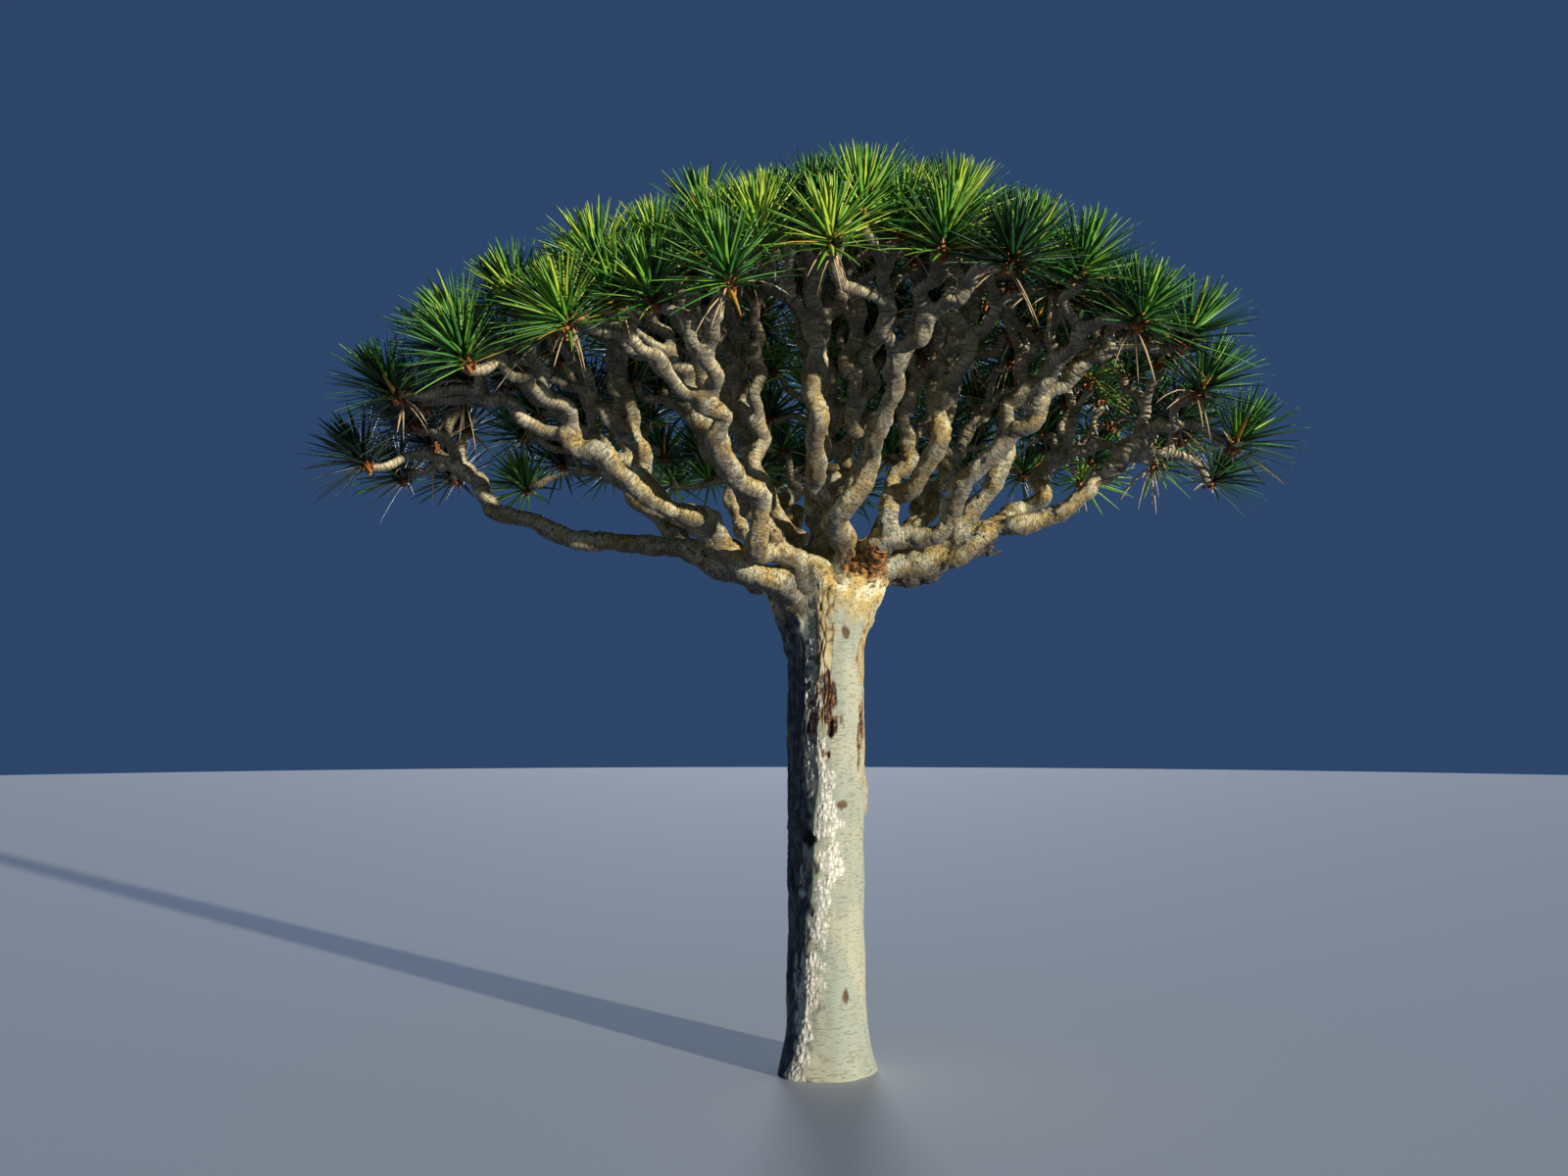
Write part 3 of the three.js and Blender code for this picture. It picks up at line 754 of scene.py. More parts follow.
def leavesOf(tip, axis, generator):
    # One rosette: its leaves stand a golden angle apart round the end of the twig, the
    # youngest upright at the top, the oldest drooping at the bottom.
    count = rosette["leaves"]
    age = (np.arange(count) + 0.5) / count
    angle = np.arange(count) * math.radians(rosette["turn"]) + generator.uniform(0, 6.28)
    outward, across = spokes(axis, angle)
    span = rosette["highest"] - rosette["lowest"]
    scatter = generator.normal(0, rosette["scatter"], count)
    tilt = np.radians(rosette["highest"] - span * age ** 0.85 + scatter)
    direction = np.cos(tilt)[:, None] * outward + np.sin(tilt)[:, None] * axis
    radius = rosette["girth"] * ramp(age, -0.1, 0.35)
    base = tip + (0.02 - rosette["stem"] * age ** 1.2)[:, None] * axis + radius[:, None] * outward
    size = generator.uniform(*rosette["sizes"]) * rosette["length"]
    length = size * (0.72 + 0.28 * ramp(age, 0, 0.4)) * generator.uniform(*rosette["lengths"], count)
    width = rosette["width"] * generator.uniform(*rosette["widths"], count)
    droop = 0.02 + rosette["droop"] * age ** 2 + generator.uniform(0, 0.05, count)
    twist = generator.uniform(-0.5, 0.5, count)
    return age, [base, direction, across, length, width, droop, twist]


def dryLeavesOf(tip, axis, generator):
    # dead leaves that hang from the twig under a rosette, narrow, pale and curled
    count = int(generator.integers(2, rosette["dryMost"] + 1))
    outward, _ = spokes(axis, generator.uniform(0, 2 * math.pi, count))
    back = generator.uniform(0.08, 0.16, count)
    base = tip - back[:, None] * axis + rosette["girth"] * outward
    direction = unit(0.6 * outward - generator.uniform(0.1, 1.2, count)[:, None] * up)
    length = rosette["length"] * generator.uniform(0.25, 0.6, count)
    width = rosette["width"] * generator.uniform(0.4, 0.75, count)
    return [base, direction, np.cross(axis, outward), length, width,
            generator.uniform(0.3, 0.9, count), generator.uniform(-2.5, 2.5, count)]


def sheathsOf(tip, axis, generator):
    # short broad bases of old leaves that clasp the twig just under the green ones
    count = rosette["sheaths"]
    angle = np.arange(count) * math.radians(rosette["turn"]) + generator.uniform(0, 6.28)
    outward, _ = spokes(axis, angle)
    back = 0.06 + 0.09 * (np.arange(count) + generator.uniform(0, 1, count)) / count
    base = tip - back[:, None] * axis + 0.025 * outward
    direction = unit(axis + generator.uniform(0.1, 0.7, count)[:, None] * outward)
    length = rosette["sheathLength"] * generator.uniform(0.6, 1.3, count)
    return [base, direction, np.cross(axis, outward), length, 1.4 * rosette["width"] + length * 0,
            length * 0, length * 0]


# A leaf's lightness picks its green: a mean, smooth noise and chance for its rosette, the
# painted sunlight and shade that the lobes add, chance for the leaf itself, and less with age.
# The steps part the five greens.
shading = {"mean": 0.42, "noise": 0.35, "noiseSize": 0.6, "chance": 0.14, "leafChance": 0.2,
           "age": 0.3, "steps": [0.05, 0.32, 0.6, 0.9]}
sunAndShadeLobes = [
    # azimuth and reach of a part of the crown, its width in metres, and how much lighter it is:
    # painted sunlight where that is positive, painted shade where it is negative
    (254, 2.1, 1.1, 0.36),
    (228, 2.0, 0.9, 0.2),
    (180, 3.0, 1.3, -0.45),
    (325, 1.8, 1.2, -0.16),
    (60, 1.6, 1.5, 0.1),
]


def growLeaves(boughs):
    # Every leaf gets one tint, by its rosette's place in the crown, where lighter greens paint
    # sunlight and darker ones shade, by its age and by chance.
    generator = np.random.default_rng(crown["seed"])
    gathered = {tint: [] for tint in tints}
    for bough in boughs:
        for tube in bough["tubes"]:
            tip, axis = tube["parts"][-1][0].end, tube["axis"]
            age, leaves = leavesOf(tip, axis, generator)
            count = len(age)
            noise = shading["noise"] * smoothNoise(tip[None], shading["noiseSize"], 77)[0]
            lit = shading["mean"] + noise + generator.normal(0, shading["chance"])
            # painted sunlight and shade: parts of the crown get lighter and darker greens
            for azimuth, reach, width, gain in sunAndShadeLobes:
                away = np.linalg.norm((tip - polar(reach, azimuth))[:2])
                lit += gain * math.exp(-(away / width) ** 2)
            score = lit + generator.normal(0, shading["leafChance"], count)
            score = score - shading["age"] * (age - 0.5)
            tint = np.searchsorted(shading["steps"], score, side="right")
            chance = generator.uniform(0, 1, count)
            tint = np.where((age > 0.7) & (chance < 0.06), 5, tint)
            tint = np.where((age > 0.85) & (chance > 0.95), 6, tint)
            leaves[5] = np.where(tint == 6, 0.5, leaves[5])
            for i, name in enumerate(tints):
                chosen = tint == i
                if chosen.any():
                    gathered[name].append([values[chosen] for values in leaves])
            if generator.uniform() < rosette["dryShare"]:
                gathered["dry"].append(dryLeavesOf(tip, axis, generator))
            gathered["sheath"].append(sheathsOf(tip, axis, generator))
    return {name: [np.concatenate(parts) for parts in zip(*rows)]
            for name, rows in gathered.items() if rows}


# Materials

def linear(code):
    # sRGB hex to linear red, green and blue, with an alpha of 1
    parts = np.array([int(code[i:i + 2], 16) for i in (1, 3, 5)]) / 255
    return (*np.where(parts <= 0.04045, parts / 12.92, ((parts + 0.055) / 1.055) ** 2.4), 1.0)


def addNode(material, kind, inputs=(), out=0, **settings):
    # One node with its settings. An input, by its socket's name or number, is another node's
    # socket, a hex colour or a value. Gives one of the node's output sockets.
    tree = material.node_tree
    node = tree.nodes.new("ShaderNode" + kind)
    for key, value in settings.items():
        setattr(node, key, value)
    for key, value in dict(inputs).items():
        if isinstance(value, bpy.types.NodeSocket):
            tree.links.new(value, node.inputs[key])
        else:
            node.inputs[key].default_value = linear(value) if isinstance(value, str) else value
    return node.outputs[out]


def newMaterial(name, roughness):
    # an empty finish, and the Object coordinates that its patterns lie on
    material = bpy.data.materials.new(name)
    material.use_nodes = True
    material.node_tree.nodes["Principled BSDF"].inputs["Roughness"].default_value = roughness
    return material, addNode(material, "TexCoord", out="Object")


def patches(material, place, size, low, high, stretch=(1, 1, 1), detail=4, roughness=0.55):
    # 0 to 1 where smooth noise, with features of a size in metres, goes from low to high
    place = addNode(material, "VectorMath", {0: place, 1: stretch}, operation="MULTIPLY")
    noise = addNode(material, "TexNoise", {"Vector": place, "Scale": 1 / size, "Detail": detail,
                                           "Roughness": roughness})
    return addNode(material, "MapRange", {"Value": noise, "From Min": low, "From Max": high},
                   interpolation_type="SMOOTHSTEP")


def coats(material, colour, layers):
    # one colour laid over another: each layer is where it lies, how strongly, and its colour
    for where, strength, over in layers:
        share = addNode(material, "Math", {0: where, 1: strength}, operation="MULTIPLY")
        colour = addNode(material, "Mix", {0: share, 6: colour, 7: over}, 2, data_type="RGBA")
    return colour


def finish(material, colour, height, depth, **settings):
    # colour and relief onto the shader; depth is the relief's in metres
    shader = material.node_tree.nodes["Principled BSDF"]
    relief = addNode(material, "Bump", {"Height": height, "Strength": 1.0, "Distance": depth},
                     **settings)
    material.node_tree.links.new(colour, shader.inputs["Base Color"])
    material.node_tree.links.new(relief, shader.inputs["Normal"])
    return material


def field(material, name):
    # a piece's own attribute, as a share from 0 to 1
    return addNode(material, "Attribute", out="Fac", attribute_name=name)


cork = {"pale": "#d2cba6", "golden": "#b79c58", "grey": "#b6b6a2", "brown": "#6f5733",
        "grit": "#5d4a2c", "wrinkle": "#3f2f1d", "hole": "#1c130c", "knotSpacing": 0.11}


def corkColour(material, place, along, wrinkles):
    # Cork of old limbs: pale khaki to golden ochre, greyer in patches and browner in others,
    # with dark flecks along the limb, dark wrinkles across it and a few black knot holes
    knots = addNode(material, "TexVoronoi", {"Vector": place, "Scale": 1 / cork["knotSpacing"]})
    holes = addNode(material, "MapRange", {"Value": knots, "From Min": 0.13, "From Max": 0.08},
                    interpolation_type="SMOOTHSTEP")
    return coats(material, cork["pale"], [
        (patches(material, place, 0.13, 0.38, 0.58, detail=5), 1.0, cork["golden"]),
        (patches(material, place, 0.17, 0.53, 0.62, detail=5, roughness=0.6), 0.85, cork["grey"]),
        (patches(material, place, 0.11, 0.6, 0.68, (1, 1, 1.3), 6), 0.8, cork["brown"]),
        (patches(material, along, 0.014, 0.5, 0.34, (1, 1, 0.5), 5, 0.7), 0.6, cork["grit"]),
        (wrinkles, 0.65, cork["wrinkle"]),
        (holes, 1.0, cork["hole"]),
    ])


def tornColour(material, place):
    # freshly torn bark: orange-brown strips with dark cracks between them
    strips = patches(material, place, 0.04, 0.4, 0.6, (1.5, 1, 1), 5, 0.65)
    return coats(material, "#351a08", [(strips, 1.0, "#a9742f")])


def barkOfLimbs():
    # Bark of a dragon tree's limbs: corky, khaki to ochre where it is old, a smooth straw skin
    # with dark leaf scar rings where it is young, orange-brown just under the leaves, and a painted
    # shade of dark slate grey on the underside. Matt.
    material, place = newMaterial("corkyBark", 0.88)
    straight = addNode(material, "Attribute", out="Vector", attribute_name="straight")
    wrinkles = patches(material, straight, 0.034, 0.5, 0.38, (1, 1, 3), 3, 0.6)
    speckle = patches(material, place, 0.014, 0.36, 0.52, detail=3, roughness=0.7)
    alongLimb = addNode(material, "SeparateXYZ", {"Vector": straight}, "Z")
    turns = addNode(material, "Math", {0: alongLimb, 1: 2 * math.pi / limbSkin["scarSpacing"]},
                    operation="MULTIPLY")
    wave = addNode(material, "Math", {0: turns}, operation="COSINE")
    rings = addNode(material, "MapRange", {"Value": wave, "From Min": 0.6, "From Max": 0.95},
                    interpolation_type="SMOOTHSTEP")
    scars = addNode(material, "Math", {0: rings, 1: speckle}, operation="MULTIPLY")
    young = coats(material, "#d6cba6", [
        (patches(material, place, 0.08, 0.42, 0.62), 1.0, "#a3936c"),
        (field(material, "fresh"), 0.85, "#94582a"),
        (scars, 0.75, "#33281c"),
    ])
    colour = coats(material, young, [
        (field(material, "old"), 1.0, corkColour(material, place, straight, wrinkles)),
        # painted shade: dark slate grey on the undersides
        (field(material, "under"), 0.75, "#32343a"),
        (field(material, "torn"), 1.0, tornColour(material, place)),
    ])
    grains = addNode(material, "Math", {0: speckle, 1: wrinkles}, operation="SUBTRACT")
    return finish(material, colour, grains, 0.004)


def plainFinish(name, roughness, colour):
    # one plain colour all over
    material, _ = newMaterial(name, roughness)
    material.node_tree.nodes["Principled BSDF"].inputs["Base Color"].default_value = linear(colour)
    return material


def leafSurface(name, tint):
    # Waxy, leathery sword leaf: one plain green all over, with a soft gloss from its wax
    return plainFinish(name, 0.45, tint)


# The trunk

trunkGrid = {"columns": 360, "rows": 250, "domeRows": 25}

# Marks on the trunk's bark, each as its azimuth, height, half width and half height
trunkMarks = {
    "knots": [(298, 2.68, 0.022, 0.034), (298, 1.61, 0.034, 0.024), (302, 0.48, 0.024, 0.045),
              (40, 1.3, 0.04, 0.05), (128, 2.2, 0.04, 0.06)],
    "wounds": [(275, 2.3, 0.045, 0.1), (280, 2.09, 0.05, 0.1), (346, 2.15, 0.05, 0.12),
               (331, 2.02, 0.016, 0.16), (252, 2.14, 0.055, 0.11), (100, 1.7, 0.05, 0.13)],
    "hollows": [(279, 2.06, 0.018, 0.05), (342, 2.12, 0.018, 0.09), (198, 1.12, 0.03, 0.09),
                (184, 0.62, 0.03, 0.11), (243, 1.4, 0.045, 0.04), (103, 1.66, 0.02, 0.07)],
    "scars": [(280, 1.8, 0.06, 0.06), (277, 1.58, 0.05, 0.05), (288, 2.86, 0.07, 0.06)],
    "flecks": [(250, 2.4, 0.07, 0.3), (248, 1.88, 0.07, 0.16), (228, 1.12, 0.045, 0.11),
               (212, 0.58, 0.04, 0.11), (209, 0.83, 0.02, 0.03), (70, 0.9, 0.2, 0.3),
               (130, 1.5, 0.12, 0.3)],
    "plates": [(269, 2.5, 0.055, 0.5), (336, 2.55, 0.05, 0.26), (30, 2.2, 0.22, 0.5),
               (150, 1.9, 0.12, 0.6), (90, 0.5, 0.2, 0.3)],
    # dark fissured bark down the whole left side and in patches on the back; its dark navy grey is
    # painted shade
    "weathered": [(204, 1.5, 0.17, 6.0), (95, 2.2, 0.14, 1.1), (128, 0.5, 0.12, 0.6)],
    "bulges": [(184, 2.66, 0.08, 0.1), (228, 2.73, 0.045, 0.06), (15, 1.7, 0.09, 0.14)],
}
markEdges = {"knots": 0.6, "wounds": 1.0, "hollows": 0.9, "scars": 0.2, "flecks": 0.5,
             "plates": 0.5, "weathered": 0.6, "bulges": 0.3}
# The white lichen's band: heights, and the azimuth and half width there
lichenBand = {"heights": [0.0, 0.28, 0.52, 0.72, 0.98, 1.16, 1.33, 1.51, 1.74, 1.95],
              "azimuths": [234, 237, 243, 251, 265, 274, 280, 277, 271, 264],
              "widths": [0.05, 0.06, 0.065, 0.06, 0.06, 0.075, 0.085, 0.075, 0.05, 0.02]}
# The flat on the trunk's left front: heights, and the azimuth of its ridge there
trunkFlat = {"heights": [0.0, 0.7, 1.3, 1.7, 2.4, 3.0], "ridges": [238, 242, 252, 258, 260, 266],
             "half": 37, "depth": 0.85, "wander": 5, "wanderSize": 0.22}


# Heights of the relief on the trunk's bark
trunkRelief = {"waves": 0.009, "wrinkles": 0.0016, "plateWaves": 0.007, "plates": 0.006,
               "cracks": 0.012, "lichen": 0.005, "lichenGaps": 0.006, "fissures": 0.006,
               "bulges": 0.022, "wounds": 0.014, "hollows": 0.028, "knotRims": 0.01,
               "knots": 0.006, "scars": 0.003}


def trunkProfile(height):
    # the trunk's radius without its flutes: root flare, straight shaft and swelling head
    return (trunk["shaft"] + trunk["footFlare"] * np.exp(-height / trunk["footFade"])
            + trunk["headFlare"] * ramp(height, trunk["neck"], trunk["head"]))


def distanceToTrunk(places):
    # distance from places to the trunk's surface, and its radius there: by the radius below
    # the shoulder, where the slope is allowed for, and by an ellipsoid above it
    shoulder = trunk["height"] - trunk["dome"]
    height = places[..., 2]
    lean = trunk["lean"] * ramp(height, 0, trunk["height"])
    out = np.hypot(places[..., 0] - lean, places[..., 1])
    radius = trunkProfile(np.minimum(height, shoulder))
    slope = (trunkProfile(np.minimum(height, shoulder) + 0.01) - radius) / 0.01
    above = np.maximum(0, height - shoulder)
    side = (out - radius) / np.sqrt(1 + slope**2)
    domed = (np.sqrt((out / radius) ** 2 + (above / trunk["dome"]) ** 2) - 1) * trunk["dome"]
    return np.where(above > 0, np.where(out < radius, domed, np.maximum(domed, side)), side), radius


def onTrunk(azimuth, height, marks, ragged=0.3, soft=0.25):
    # 1 inside ellipses on the bark, 0 outside, with an edge that noise makes ragged
    angle = np.radians(azimuth)
    arcs = np.stack(np.broadcast_arrays(np.cos(angle) * trunk["shaft"], np.sin(angle) * trunk["shaft"],
                                        height), axis=-1)
    edge = ragged * roughNoise(arcs * np.array([1, 1, 0.6]), 0.05, 3, 55)
    share = 0
    for markAzimuth, markHeight, width, tall in marks:
        turn = (azimuth - markAzimuth + 540) % 360 - 180
        far = np.hypot(np.radians(turn) * trunk["shaft"] / width, (height - markHeight) / tall)
        share = np.maximum(share, 1 - ramp(far + edge, 1 - soft, 1 + soft))
    return share


def makeTrunk(material, neighbours):
    # rows up the shaft, then rows by angle over the dome; the bark's relief is added outwards
    shoulder = trunk["height"] - trunk["dome"]
    rise = np.linspace(0, math.pi / 2, trunkGrid["domeRows"] + 1)[1:] * 0.97
    height = np.concatenate([np.linspace(0, shoulder, trunkGrid["rows"]),
                             shoulder + trunk["dome"] * np.sin(rise)])[:, None]
    rounded = np.concatenate([np.ones(trunkGrid["rows"]), np.cos(rise)])[:, None]
    angle = (np.arange(trunkGrid["columns"]) * 2 * math.pi / trunkGrid["columns"])[None]
    azimuth = np.degrees(angle)
    foot = np.exp(-height / trunk["footFade"])
    flutes = np.sin(0.8 - 3 * angle) + 0.7 * np.sin(2.1 - 5 * angle)
    rising = np.concatenate([height, height * 0, height * 0], axis=1)
    wander = trunkFlat["wander"] * smoothNoise(rising, trunkFlat["wanderSize"], 57)[:, None]
    ridge = np.interp(height, trunkFlat["heights"], trunkFlat["ridges"]) + wander
    turn = np.radians((azimuth - (ridge - trunkFlat["half"]) + 540) % 360 - 180)
    half = math.radians(trunkFlat["half"])
    flat = np.where(np.abs(turn) < half, math.cos(half) / np.cos(np.clip(turn, -half, half)), 1)
    flat = 1 - (1 - flat) * trunkFlat["depth"] * ramp(height, 0.05, 0.4) \
        * (1 - ramp(height, 2.85, 3.1))
    radius = trunkProfile(np.minimum(height, shoulder)) * rounded * flat \
        * (1 + trunk["flutes"] * (0.35 + foot) * flutes)
    lean = trunk["lean"] * ramp(height, 0, trunk["height"])
    upwards = np.concatenate([np.zeros(trunkGrid["rows"]), np.sin(rise)])[:, None]
    outward = np.stack(np.broadcast_arrays(rounded * np.cos(angle), rounded * np.sin(angle),
                                           upwards), axis=-1)
    surface = np.stack(np.broadcast_arrays(lean + radius * np.cos(angle), radius * np.sin(angle),
                                           height), axis=-1)
    centres = np.concatenate([lean, lean * 0, height], axis=1)
    push = np.zeros(surface.shape[:2])
    joined = height[:, 0] > 2.2
    push[joined], _, _ = joinLimbs(centres[joined], radius[joined].mean(axis=1), surface[joined],
                                   outward[joined], neighbours)
    surface = surface + outward * push[..., None]

    marks = {key: onTrunk(azimuth, height, spots, markEdges[key])
             for key, spots in trunkMarks.items()}
    corky = ramp(height + 0.12 * smoothNoise(surface, 0.12, 58), 2.72, 2.95)
    plated = marks["plates"]
    bent = surface + 0.014 * smoothNoise(surface * np.array([1, 1, 0.5]), 0.09, 59)[..., None]
    cells, edges = grainNoise(bent * np.array([1, 1, 0.13]), 0.034, 61)
    cracks = 1 - ramp(edges - cells, 0.03, 0.2)
    band = np.interp(height, lichenBand["heights"], lichenBand["azimuths"])
    wide = np.interp(height, lichenBand["heights"], lichenBand["widths"])
    apart = np.abs(np.radians((azimuth - band + 540) % 360 - 180)) * trunk["shaft"] / wide
    lichen = (1 - ramp(apart + 0.9 * roughNoise(surface, 0.06, 4, 63), 0.6, 1.0)) * (height < 2.02)
    flecks = marks["flecks"] * ramp(roughNoise(surface, 0.035, 3, 64), 0.0, 0.25)
    lichen = np.maximum(lichen, flecks)
    flakes, flakeEdges = grainNoise(surface * np.array([1, 1, 0.8]), 0.03, 65)
    gaps = 1 - ramp(flakeEdges - flakes, 0.04, 0.3)
    fissures = ramp(np.abs(smoothNoise(bent * np.array([1, 1, 0.14]), 0.04, 66)), 0.22, 0.02)
    # painted shade: where the bark turns dark navy grey, away from the key light
    weathered = marks["weathered"] * (1 - lichen)
    hollow = np.maximum(marks["hollows"], 0.7 * plated * cracks)
    hollow = np.maximum(hollow, 0.6 * weathered * fissures)
    knots = marks["knots"]
    high = trunkRelief
    relief = (high["waves"] * roughNoise(surface * np.array([1, 1, 0.35]), 0.16, 3, 50)
              + high["wrinkles"] * roughNoise(surface * np.array([1, 1, 2.5]), 0.06, 2, 60)
              + plated * (high["plateWaves"] * smoothNoise(bent * np.array([1, 1, 0.13]), 0.04, 62)
                          + high["plates"] - high["cracks"] * cracks)
              + lichen * (high["lichen"] - high["lichenGaps"] * gaps)
              - high["fissures"] * weathered * fissures
              + high["bulges"] * marks["bulges"]
              - high["wounds"] * marks["wounds"] - high["hollows"] * marks["hollows"]
              + high["knotRims"] * np.sin(math.pi * np.clip(knots * 1.25, 0, 1))
              - high["knots"] * knots
              + high["scars"] * np.sin(9 * marks["scars"]) * (marks["scars"] > 0.02)
              + corky * corkRelief(surface, 1.0))
    torn = tornShare(surface) * (height > 2.6)
    relief = relief + torn * tornRelief(surface)
    grid = surface + outward * (relief * np.minimum(1, height / 0.03))[..., None]
    tubes = TubeSet()
    tubes.add(grid, plated=plated, lichen=lichen * (1 - 0.75 * gaps), hollow=hollow, corky=corky,
              torn=torn, weathered=weathered, wound=marks["wounds"], knot=knots)
    return tubes.piece("trunk_bark", material)


def barkOfTrunk():
    # Bark of an old dragon tree's trunk: smooth and pale grey with fine wrinkles, tan where it
    # has come up in plates, red-brown in wounds, under white crusts of lichen, and dark navy grey
    # and fissured on its left side and in patches on its back, a painted shade. Matt.
    material, place = newMaterial("trunkBark", 0.85)

    def spread(size, low, high, *more):
        return patches(material, place, size, low, high, *more)

    wrinkles = spread(0.05, 0.46, 0.34, (1, 1, 5), 4, 0.6)
    speckle = spread(0.012, 0.36, 0.27, (1, 1, 1), 4, 0.7)
    dashes = addNode(material, "Math", {0: spread(0.011, 0.66, 0.72, (1, 1, 0.2), 2),
                                        1: spread(0.25, 0.46, 0.56)}, operation="MULTIPLY")
    # painted shade: dark navy grey for the trunk's left side and back patches, over fissured bark
    grey = coats(material, "#31373d", [(spread(0.06, 0.42, 0.62, (1, 1, 1), 5), 1.0, "#5b6063")])
    ribbons = coats(material, "#8f6f3c", [(spread(0.03, 0.36, 0.62, (1, 1, 0.16)), 1.0, "#ada27c")])
    corky = corkColour(material, place, place, spread(0.022, 0.47, 0.36, (1, 1, 1.6), 3, 0.6))
    rust = coats(material, "#2a160b", [(spread(0.022, 0.4, 0.62), 1.0, "#7d5129")])
    white = coats(material, "#938d7b", [(spread(0.02, 0.32, 0.5, (1, 1, 1), 3), 1.0, "#d2cfc3")])
    colour = coats(material, "#9b9b86", [
        (spread(0.2, 0.4, 0.62, (1, 1, 0.4), 5), 1.0, "#8a9081"),
        (wrinkles, 0.5, "#776c52"),
        (dashes, 0.8, "#42352a"),
        (field(material, "weathered"), 1.0, grey),
        (field(material, "plated"), 1.0, ribbons),
        (speckle, 0.7, "#4d4132"),
        (field(material, "corky"), 1.0, corky),
        (field(material, "wound"), 1.0, rust),
        (field(material, "knot"), 1.0, "#554029"),
        (field(material, "lichen"), 1.0, white),
        (field(material, "hollow"), 1.0, "#25190f"),
        (field(material, "torn"), 1.0, tornColour(material, place)),
    ])
    dips = addNode(material, "Math", {0: wrinkles, 1: speckle}, operation="ADD")
    return finish(material, colour, dips, 0.0018, invert=True)


# The broken end of a dead bough

deadStub = {"azimuth": 8, "reach": 1.15, "height": 3.27, "elevation": 42, "radius": 0.062,
            "endRadius": 0.04, "splinters": 0.07}


def makeStub(material, neighbours):
    # a tube whose last rows are drawn out in splinters, rotted hollow at the end
    foot = polar(limb["footDepth"], deadStub["azimuth"], limb["footHeight"])
    foot[0] += trunk["lean"]
    end = polar(deadStub["reach"], deadStub["azimuth"], deadStub["height"])
    run = Run(foot, aim(deadStub["azimuth"], deadStub["elevation"]), end, end - foot,
              limb["sway"], limb["turns"], makeRandom(crown["seed"] + 2))
    count, columns = 110, 36
    centres = limbCentres(run, count, deadStub["radius"] * 0.5, 7)
    radii = np.linspace(deadStub["radius"], deadStub["endRadius"] * 1.15, count)
    tangents, angles, outward, surface = tubeAround(centres, radii, columns)
    push, _, _ = joinLimbs(centres, radii, surface, outward, neighbours)
    surface = surface + outward * push[..., None]
    lumps = 0.018 * roughNoise(surface, 0.08, 3, 120) + 0.006 * roughNoise(surface, 0.025, 2, 121)
    grid = surface + outward * lumps[..., None]
    share = np.linspace(0, 1, count)[:, None, None]
    teeth = deadStub["splinters"] * roughNoise(
        np.stack([np.cos(angles), np.sin(angles), angles * 0], axis=-1) * 0.05, 0.03, 2, 122)
    grid = grid + ramp(share, 0.9, 1.0) * teeth[None, :, None] * tangents[-1]
    inner = [centres[-1 - back] + (grid[-1] - centres[-1 - back]) * size
             - tangents[-1] * 0.02 * back for back, size in ((1, 0.7), (3, 0.5), (5, 0.3))]
    tubes = TubeSet()
    tubes.add(np.concatenate([grid, np.stack(inner)]))
    return tubes.piece("broken_stub", material)


def deadWood():
    # Dead wood of a dragon tree: dark grey-brown, weathered, stringy and dry
    material, place = newMaterial("deadWood", 0.92)
    strings = patches(material, place, 0.03, 0.35, 0.65, (1, 1, 2), 5, 0.65)
    return finish(material, coats(material, "#1d1c1f", [(strings, 1.0, "#544d46")]), strings, 0.004)


# Building the pieces

boughs = growTree()
print("tree grown:", len(boughs), "boughs,", sum(len(bough["tubes"]) for bough in boughs), "twigs")

limbGrid = {"boughColumns": 36, "boughSpacing": 0.0115, "twigColumns": 13, "twigSpacing": 0.009,
            "measureSteps": 2}      # every so many rows of a neighbour are measured


def layOut(bough, index):
    # rows of points and radii: the bough with its leader, then every other tube of its mass
    count = int(bough["run"].length * 1.05 / limbGrid["boughSpacing"])
    radii = boughRadii(bough, count)
    carrier = [other["ring"]["branchAt"] for other in boughs if other["parent"] is bough]
    centres = limbCentres(bough["run"], count, radii.mean() * bough["ring"]["crook"], index + 1,
                          *carrier[:1])
    leader = chainOf(bough["tubes"][0], limbGrid["boughSpacing"], index + 1, (centres, radii))
    bough["rows"] = [leader]
    for i, tube in enumerate(bough["tubes"][1:]):
        points, radii = chainOf(tube, limbGrid["twigSpacing"], 40 * index + i + 100)
        bough["rows"].append(sinkFoot(points, radii, twig["sunk"] * radii[0] * 0.6))


for index, bough in enumerate(boughs):
    layOut(bough, index)


def thinned(rows):
    return tuple(values[::limbGrid["measureSteps"]] for values in rows)


def neighboursOf(bough, own):
    # the other tubes of the mass, and for the bough itself those that it grows from or carries
    joins = [(thinned(rows), limbSkin["joinWidth"]) for rows in bough["rows"] if rows is not own]
    if own is bough["rows"][0]:
        family = [other for other in boughs if other is bough["parent"] or other["parent"] is bough]
        joins += [(thinned(other["rows"][0]), limbSkin["joinWidth"]) for other in family]
        if not bough["parent"]:
            joins.append((trunk, limbSkin["headWidth"]))
            joins += [(thinned(other["rows"][0]), limbSkin["headWidth"])
                      for other in boughs if other is not bough and not other["parent"]]
    return joins


headBoughs = [(thinned(bough["rows"][0]), limbSkin["headWidth"])
              for bough in boughs if not bough["parent"]]
trunkPiece = makeTrunk(barkOfTrunk(), headBoughs)
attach(trunkPiece, "root")
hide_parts("trunk")
stubPiece = makeStub(deadWood(), [(trunk, limbSkin["headWidth"])])
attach(stubPiece, "root")
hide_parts("dead_stub")
print("trunk made")

limbMaterial = barkOfLimbs()


def ofRing(*names):
    return [bough for bough in boughs if bough["ring"]["name"] in names]




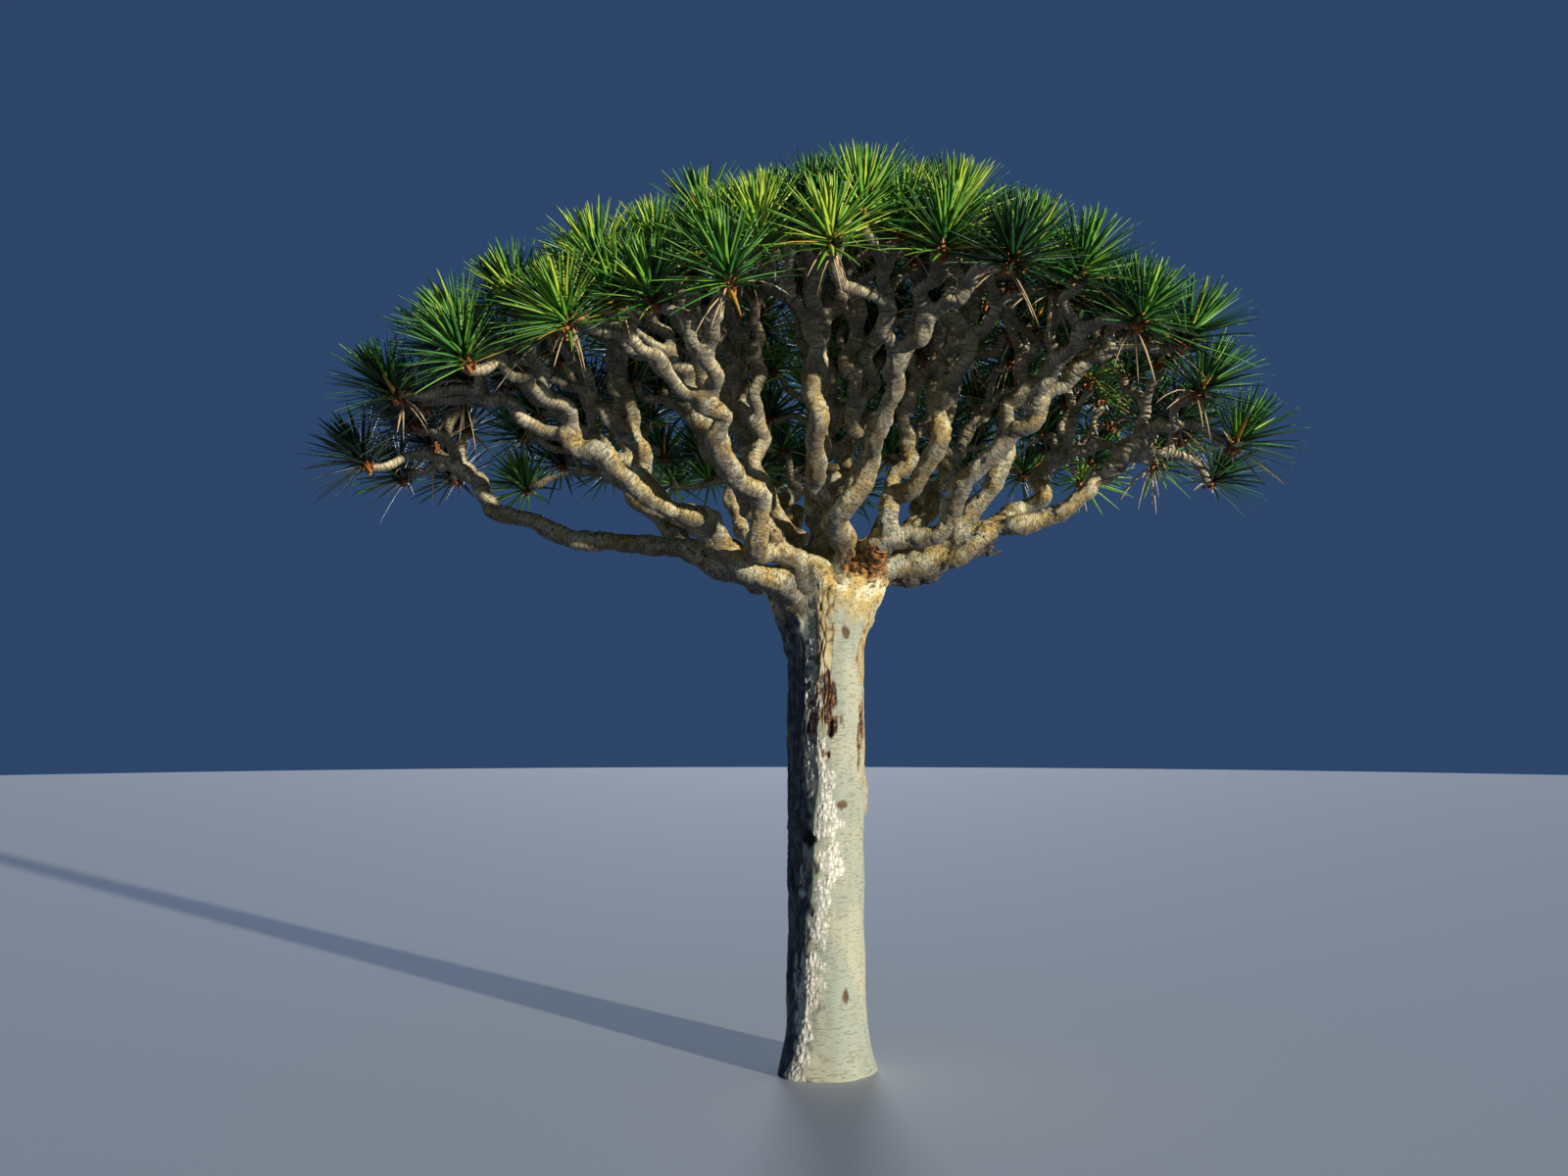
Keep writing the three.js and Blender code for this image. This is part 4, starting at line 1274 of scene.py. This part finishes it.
def makeLimbs(name, members, kind):
    # kind "bough" wraps the boughs themselves, and "foliage" the twigs of their masses
    tubes = TubeSet()
    for bough in members:
        chosen = bough["rows"][:1] if kind == "bough" else bough["rows"][1:]
        columns = limbGrid["boughColumns"] if kind == "bough" else limbGrid["twigColumns"]
        for rows in chosen:
            wrapLimb(rows, columns, tubes, neighboursOf(bough, rows))
    piece = tubes.piece(name, limbMaterial)
    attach(piece, "root")
    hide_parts(*[f"{kind}_{bough['name']}" for bough in members])


makeLimbs("boughs_rim_front", ofRing("rim")[:5], "bough")
makeLimbs("boughs_rim_back", ofRing("rim")[5:], "bough")
makeLimbs("boughs_middle", ofRing("middle"), "bough")
makeLimbs("boughs_inner", ofRing("inner", "heart"), "bough")
print("boughs made")
makeLimbs("twigs_outer", ofRing("rim"), "foliage")
makeLimbs("twigs_inner", ofRing("middle", "inner", "heart"), "foliage")
print("twigs made")

for tint, leaves in growLeaves(boughs).items():
    vertices, quads, triangles = leafBlades(*leaves)
    piece = makePiece(f"leaves_{tint}", vertices, quads, triangles,
                      leafSurface(f"leaf_{tint}", tints[tint]), smooth=False)
    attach(piece, "root")
print("leaves made")


# Camera, light and floor

view = {
    "eye": (0.0, -7.6, 2.07),
    "focalPixels": 1209,
    "imageWidth": 1600,
    "pitch": 6.84,        # degrees upwards
    "yaw": 1.9,           # degrees to the left
    "sensor": 36.0,
}
camera = bpy.data.objects.new("camera", bpy.data.cameras.new("camera"))
camera.data.sensor_width = view["sensor"]
camera.data.lens = view["sensor"] * view["focalPixels"] / view["imageWidth"]
camera.location = view["eye"]
camera.rotation_euler = (math.radians(90 + view["pitch"]), 0, math.radians(view["yaw"]))
bpy.context.scene.collection.objects.link(camera)
bpy.context.scene.camera = camera

lamps = {
    # azimuth and elevation that the light comes from, strength, softness in degrees and colour
    "key": (319, 3.5, 6.2, 1.2, "#fff8ea"),
    "fillFromBehind": (92, 9, 2.4, 20, "#e4efff"),
}
studioSky = {"colour": "#78b0ff", "strength": 0.14}


def makeLight():
    # a warm key, low from the right and front, a weak wide fill from behind, and a cool even sky
    for name, (azimuth, elevation, strength, softness, colour) in lamps.items():
        lamp = bpy.data.lights.new(name, "SUN")
        lamp.energy = strength
        lamp.angle = math.radians(softness)
        lamp.color = linear(colour)[:3]
        sun = bpy.data.objects.new(name, lamp)
        sun.rotation_euler = (math.radians(90 - elevation), 0, math.radians(azimuth + 90))
        bpy.context.scene.collection.objects.link(sun)
    world = bpy.data.worlds.new("studio")
    world.use_nodes = True
    background = world.node_tree.nodes["Background"]
    background.inputs["Color"].default_value = linear(studioSky["colour"])
    background.inputs["Strength"].default_value = studioSky["strength"]
    bpy.context.scene.world = world


def makeFloor():
    # a wide round floor, plain and pale
    radius = 60.0
    angles = np.arange(96) * 2 * math.pi / 96
    ring = np.stack([radius * np.cos(angles), radius * np.sin(angles), np.zeros(96)], axis=-1)
    material = plainFinish("paleFloor", 1.0, "#dcdfe1")
    mesh = bpy.data.meshes.new("floor")
    mesh.from_pydata(ring.tolist(), [], [list(range(96))])
    mesh.materials.append(material)
    floor = bpy.data.objects.new("floor", mesh)
    bpy.context.scene.collection.objects.link(floor)


makeLight()
makeFloor()
bpy.context.scene.view_settings.view_transform = "Standard"
